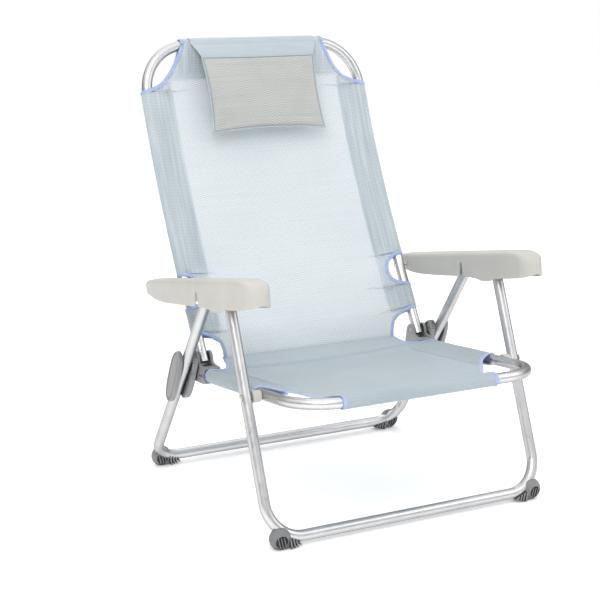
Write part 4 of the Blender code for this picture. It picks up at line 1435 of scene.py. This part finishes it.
def stitch_row(panel, label, places, body):
    """Separate stitches along (x, station) places on a panel's face, joined as one piece."""
    name = f"stitch_{panel.name}_{label}"
    outs = [panel.out(s) for _, s in places]
    points = [panel.layer(x, s, 1) + out * (CLOTH / 2) for (x, s), out in zip(places, outs)]
    array, lengths = as_line(points)
    out_array = np.array([tuple(out) for out in outs])
    bm = bmesh.new()
    for k in range(int(lengths[-1] / STITCH_PITCH)):
        start = k * STITCH_PITCH
        stop = start + STITCH_LENGTH
        first, last, middle = (
            sample(array, lengths, t) for t in (start, stop, (start + stop) / 2))
        out = sample(out_array, lengths, start)
        line = [first - out * STITCH_SINK,
                first * 0.75 + last * 0.25 + out * STITCH_LIFT,
                middle + out * STITCH_LIFT * 1.15,
                first * 0.25 + last * 0.75 + out * STITCH_LIFT,
                last - out * STITCH_SINK]
        stitch = sweep(line, circle(THREAD_RADIUS, 6), normals=[out] * 5)
        bm.from_mesh(stitch)
        bpy.data.meshes.remove(stitch)
    piece(name, mesh_from_bm(name, bm), THREAD, body)


def stitch_across(panel, label, station, body):
    """A row from side to side, following the panel's skew."""
    half = lookup(panel.cut, station) - 0.008
    shift = panel.skew(station)
    places = [(float(x) + shift, station) for x in np.linspace(-half, half, 60)]
    stitch_row(panel, label, places, body)


for side, side_name in SIDES.items():
    for label, x in (("a", SEAM_X - 0.001), ("b", SEAM_X + 0.004)):
        for panel, low, high, count in ((BACK, 0.060, 0.560, 120), (SEAT, -0.185, 0.060, 60)):
            places = [(side * x, float(s)) for s in np.linspace(low, high, count)]
            stitch_row(panel, f"{label}_{side_name}", places, panel.body)
stitch_across(SEAT, "front_a", SEAT_FRONT_Y + 0.063, "seat")
stitch_across(SEAT, "front_b", SEAT_FRONT_Y + 0.068, "seat")
stitch_across(SEAT, "rear_a", SEAT_REAR - 0.052, None)
stitch_across(SEAT, "rear_b", SEAT_REAR - 0.047, None)
stitch_across(BACK, "top_a", BACK_END - 0.064, "backrest")
stitch_across(BACK, "top_b", BACK_END - 0.069, "backrest")


def crease_seam():
    """The sewn line where the seat cloth meets the back cloth."""
    half = lookup(CUT_SEAT, SEAT_REAR)
    place = (CREASE[0] + 0.0004, CREASE[1] - 0.0002)
    points = [(float(x), *place) for x in np.linspace(-half, half, 60)]
    piece("crease_seam", sweep(points, circle(0.0016, 12)), SLEEVE_MESH, None)


crease_seam()


# ============================================================ pillow
# Built in the XZ plane with its front towards -Y, then leaned against the backrest.
PILLOW_WIDTH = 0.252
PILLOW_HEIGHT = 0.153
PILLOW_THICKNESS = 0.046
PILLOW_Z = 0.7075
PILLOW_FILL = 0.92              # share of the thickness before it is inflated
REAR_FILL = 0.75                # fullness of the rear face beside the front one
INFLATE_FRAMES = 20
INFLATE_LIMIT = 0.006


def pillow_edge(u, v):
    """(x, z) for u, v in -1..1; the sides bow inwards between pointed corners."""
    x = u * PILLOW_WIDTH / 2 * (1 - 0.040 * (1 - v * v))
    z = v * PILLOW_HEIGHT / 2 * (1 - (0.088 if v < 0 else 0.020) * (1 - u * u))
    return x, z


def pillow_shape():
    """Two domed faces meeting at a seam."""
    columns, rows = 40, 28
    bm = bmesh.new()
    uv_layer = bm.loops.layers.uv.new("UVMap")
    for face in (1, -1):
        grid = []
        for i in range(rows + 1):
            row = []
            for j in range(columns + 1):
                u, v = j / columns * 2 - 1, i / rows * 2 - 1
                x, z = pillow_edge(u, v)
                puff = (1 - abs(u) ** 2.6) ** 0.62 * (1 - abs(v) ** 2.6) ** 0.62
                fill = PILLOW_FILL * (1.0 if face > 0 else REAR_FILL)
                depth = PILLOW_THICKNESS / 2 * puff * fill
                dimple = 0.0008 * math.sin(9 * u + 2 * v) * math.sin(7 * v - u) * puff
                row.append(bm.verts.new((x, -face * (depth + dimple), z)))
            grid.append(row)
        for i in range(rows):
            for j in range(columns):
                quad = (grid[i][j], grid[i][j + 1], grid[i + 1][j + 1], grid[i + 1][j])
                polygon = bm.faces.new(quad if face > 0 else quad[::-1])
                polygon.material_index = 0 if face > 0 else 1
                for loop in polygon.loops:
                    loop[uv_layer].uv = (loop.vert.co.x, loop.vert.co.z)
    bmesh.ops.remove_doubles(bm, verts=bm.verts, dist=0.00005)
    bmesh.ops.recalc_face_normals(bm, faces=bm.faces)
    return mesh_from_bm("pillow", bm)


def inflate(mesh):
    """Inflates the pillow as cloth; the movement is capped and fades out at the seam."""
    pillow_object = bpy.data.objects.new("pillow_sim", mesh)
    scene = bpy.context.scene
    scene.collection.objects.link(pillow_object)
    start = [v.co.copy() for v in mesh.vertices]
    cloth = pillow_object.modifiers.new("Cloth", "CLOTH")
    settings = cloth.settings
    settings.quality = 6
    settings.mass = 0.2
    settings.tension_stiffness = 14
    settings.compression_stiffness = 14
    settings.shear_stiffness = 6
    settings.bending_stiffness = 0.6
    settings.use_pressure = True
    settings.uniform_pressure_force = 4.0
    settings.effector_weights.gravity = 0.0
    cloth.point_cache.frame_start = 1
    cloth.point_cache.frame_end = INFLATE_FRAMES
    for number in range(1, INFLATE_FRAMES + 1):
        scene.frame_set(number)
    result = evaluated(pillow_object)
    bpy.data.objects.remove(pillow_object, do_unlink=True)
    scene.frame_set(1)
    for vertex, origin in zip(result.vertices, start):
        move = vertex.co - origin
        if move.length > INFLATE_LIMIT:
            move = move.normalized() * INFLATE_LIMIT
        inside = min(1 - min(1, abs(origin.x) / (PILLOW_WIDTH / 2)),
                     1 - min(1, abs(origin.z) / (PILLOW_HEIGHT / 2)))
        vertex.co = origin + move * smooth((inside - 0.06) / 0.22)
    return result


def pillow_placement():
    up, out = back_axes(PILLOW_Z)
    centre = Vector((0, back_y(PILLOW_Z), PILLOW_Z)) + out * (PILLOW_THICKNESS / 2 + 0.0065)
    return Matrix.Translation(centre) @ Matrix.Rotation(-math.atan2(up.y, up.z), 4, "X")


def pillow(place):
    mesh = pillow_shape()
    mesh.materials.append(PILLOW_FRONT)
    mesh.materials.append(PILLOW_SIDE)
    mesh = inflate(mesh)
    mesh = apply_modifiers(mesh, ("SUBSURF", {"levels": 1, "render_levels": 1}))
    mesh.transform(place)
    piece("pillow", mesh, None, "backrest", ("headrest_pillow",))


def piping(place):
    """A cord round the pillow's seam."""
    count = 160
    points = []
    for k in range(count):
        turn = 4 * k / count
        t = turn - int(turn)
        edges = ((2 * t - 1, -1), (1, 2 * t - 1), (1 - 2 * t, 1), (-1, 1 - 2 * t))
        x, z = pillow_edge(*edges[int(turn)])
        points.append(place @ Vector((x, 0, z)))
    piece("pillow_piping", sweep(points, circle(0.0016, 10), closed=True), PILLOW_SIDE,
          "backrest")


def flap(place):
    """A band from the pillow's top seam over the top bar and down behind it."""
    radius = WRAP + 0.0016
    seam_half, bar_half = 0.124, 0.140
    seam = place @ Vector((0, 0.001, PILLOW_HEIGHT / 2 * 0.96))
    seam.x = 0
    front = TOP_CENTRE + TOP_OUT * radius
    behind = TOP_CENTRE - TOP_OUT * radius
    end = TOP_CENTRE - TOP_OUT * 0.0128 - TOP_UP * 0.060
    line = []
    for k in range(7):
        arch = 0.003 * math.sin(math.pi * k / 6)
        line.append(seam.lerp(front, k / 6) + TOP_OUT * arch)
    line += [TOP_CENTRE + BACK.turned(math.pi * k / 14) * radius for k in range(1, 15)]
    line += [behind.lerp(end, k / 8) for k in range(1, 9)]
    rows = []
    for i, (point, along) in enumerate(zip(line, distances(line))):
        half = mix(seam_half, bar_half, min(1.0, i / 6))
        ripple_share = 1 if 2 < i < 6 else 0.3
        row = []
        for j in range(33):
            x = mix(-1, 1, j / 32) * half
            ripple = 0.0005 * math.sin(31 * x * 3 + i * 0.3) * ripple_share
            row.append((Vector((x, point.y, point.z)) + TOP_OUT * ripple, (x, along)))
        rows.append(row)
    mesh = cloth_mesh("flap", [sheet(rows)], (PILLOW_FLAP,))
    piece("pillow_band", mesh, None, "backrest", ("pillow_flap",), 60)


pillow_place = pillow_placement()
pillow(pillow_place)
piping(pillow_place)
flap(pillow_place)


# ============================================================ stage, light, camera
def floor():
    bm = bmesh.new()
    bmesh.ops.create_grid(bm, x_segments=1, y_segments=1, size=6.0)
    floor_object = bpy.data.objects.new("floor", mesh_from_bm("floor", bm))
    bpy.context.scene.collection.objects.link(floor_object)
    floor_object.location = (0, 0, -0.0005)
    material, _, surface = new_material("floor_pale")
    feed(surface, {
        "Base Color": (0.93, 0.93, 0.93, 1),
        "Emission Color": (1, 1, 1, 1),
        "Emission Strength": 0.22,
        "Roughness": 0.85,
    })
    floor_object.data.materials.append(material)


def studio():
    """The camera sees plain white; the chair is lit by a sky bright above, darker at the sides."""
    world = bpy.data.worlds.new("studio")
    bpy.context.scene.world = world
    world.use_nodes = True
    tree = world.node_tree
    camera_ray = add(tree, "LightPath").outputs["Is Camera Ray"]
    height = add(tree, "SeparateXYZ", {0: coordinates(tree, "Generated")}).outputs[2]
    sky = ramp(tree, height, [
        (0.0, (0.40, 0.40, 0.41)), (0.16, (0.26, 0.26, 0.27)), (0.34, (0.55, 0.55, 0.56)),
        (0.60, (1.10, 1.10, 1.10)), (1.0, (1.25, 1.25, 1.25))])
    seen = mix_colour(tree, camera_ray, sky, (1.0, 1.0, 1.0, 1))
    feed(tree.nodes["Background"], {"Color": seen, "Strength": 1.0})
    bpy.context.scene.view_settings.view_transform = "Standard"


def aim(location, target):
    """The rotation that points a light or camera at a target."""
    return (Vector(target) - Vector(location)).to_track_quat("-Z", "Y")


def area_light(name, location, target, size, power):
    light = bpy.data.lights.new(name, "AREA")
    light.size = size
    light.energy = power
    light_object = bpy.data.objects.new(name, light)
    light_object.location = location
    light_object.rotation_euler = aim(location, target).to_euler()
    bpy.context.scene.collection.objects.link(light_object)


def camera():
    location = (-1.456, -2.425, 1.0145)
    target = (0, 0.1667, 0.3237)
    roll = Matrix.Rotation(math.radians(0.592), 4, "Z")
    data = bpy.data.cameras.new("camera")
    data.lens = 92.68
    data.sensor_width = 36.0
    camera_object = bpy.data.objects.new("camera", data)
    bpy.context.scene.collection.objects.link(camera_object)
    camera_object.location = location
    turn = aim(location, target).to_matrix().to_4x4()
    camera_object.rotation_euler = (turn @ roll).to_euler()
    bpy.context.scene.camera = camera_object


floor()
studio()
area_light("key", location=(-1.8, -2.0, 2.6), target=(0, 0, 0.35), size=1.6, power=36)
area_light("fill", location=(2.4, -1.6, 1.8), target=(0, 0, 0.35), size=2.0, power=14)
area_light("rim", location=(0.6, 2.4, 2.2), target=(0, 0, 0.4), size=2.0, power=16)
camera()

bpy.context.view_layer.update()
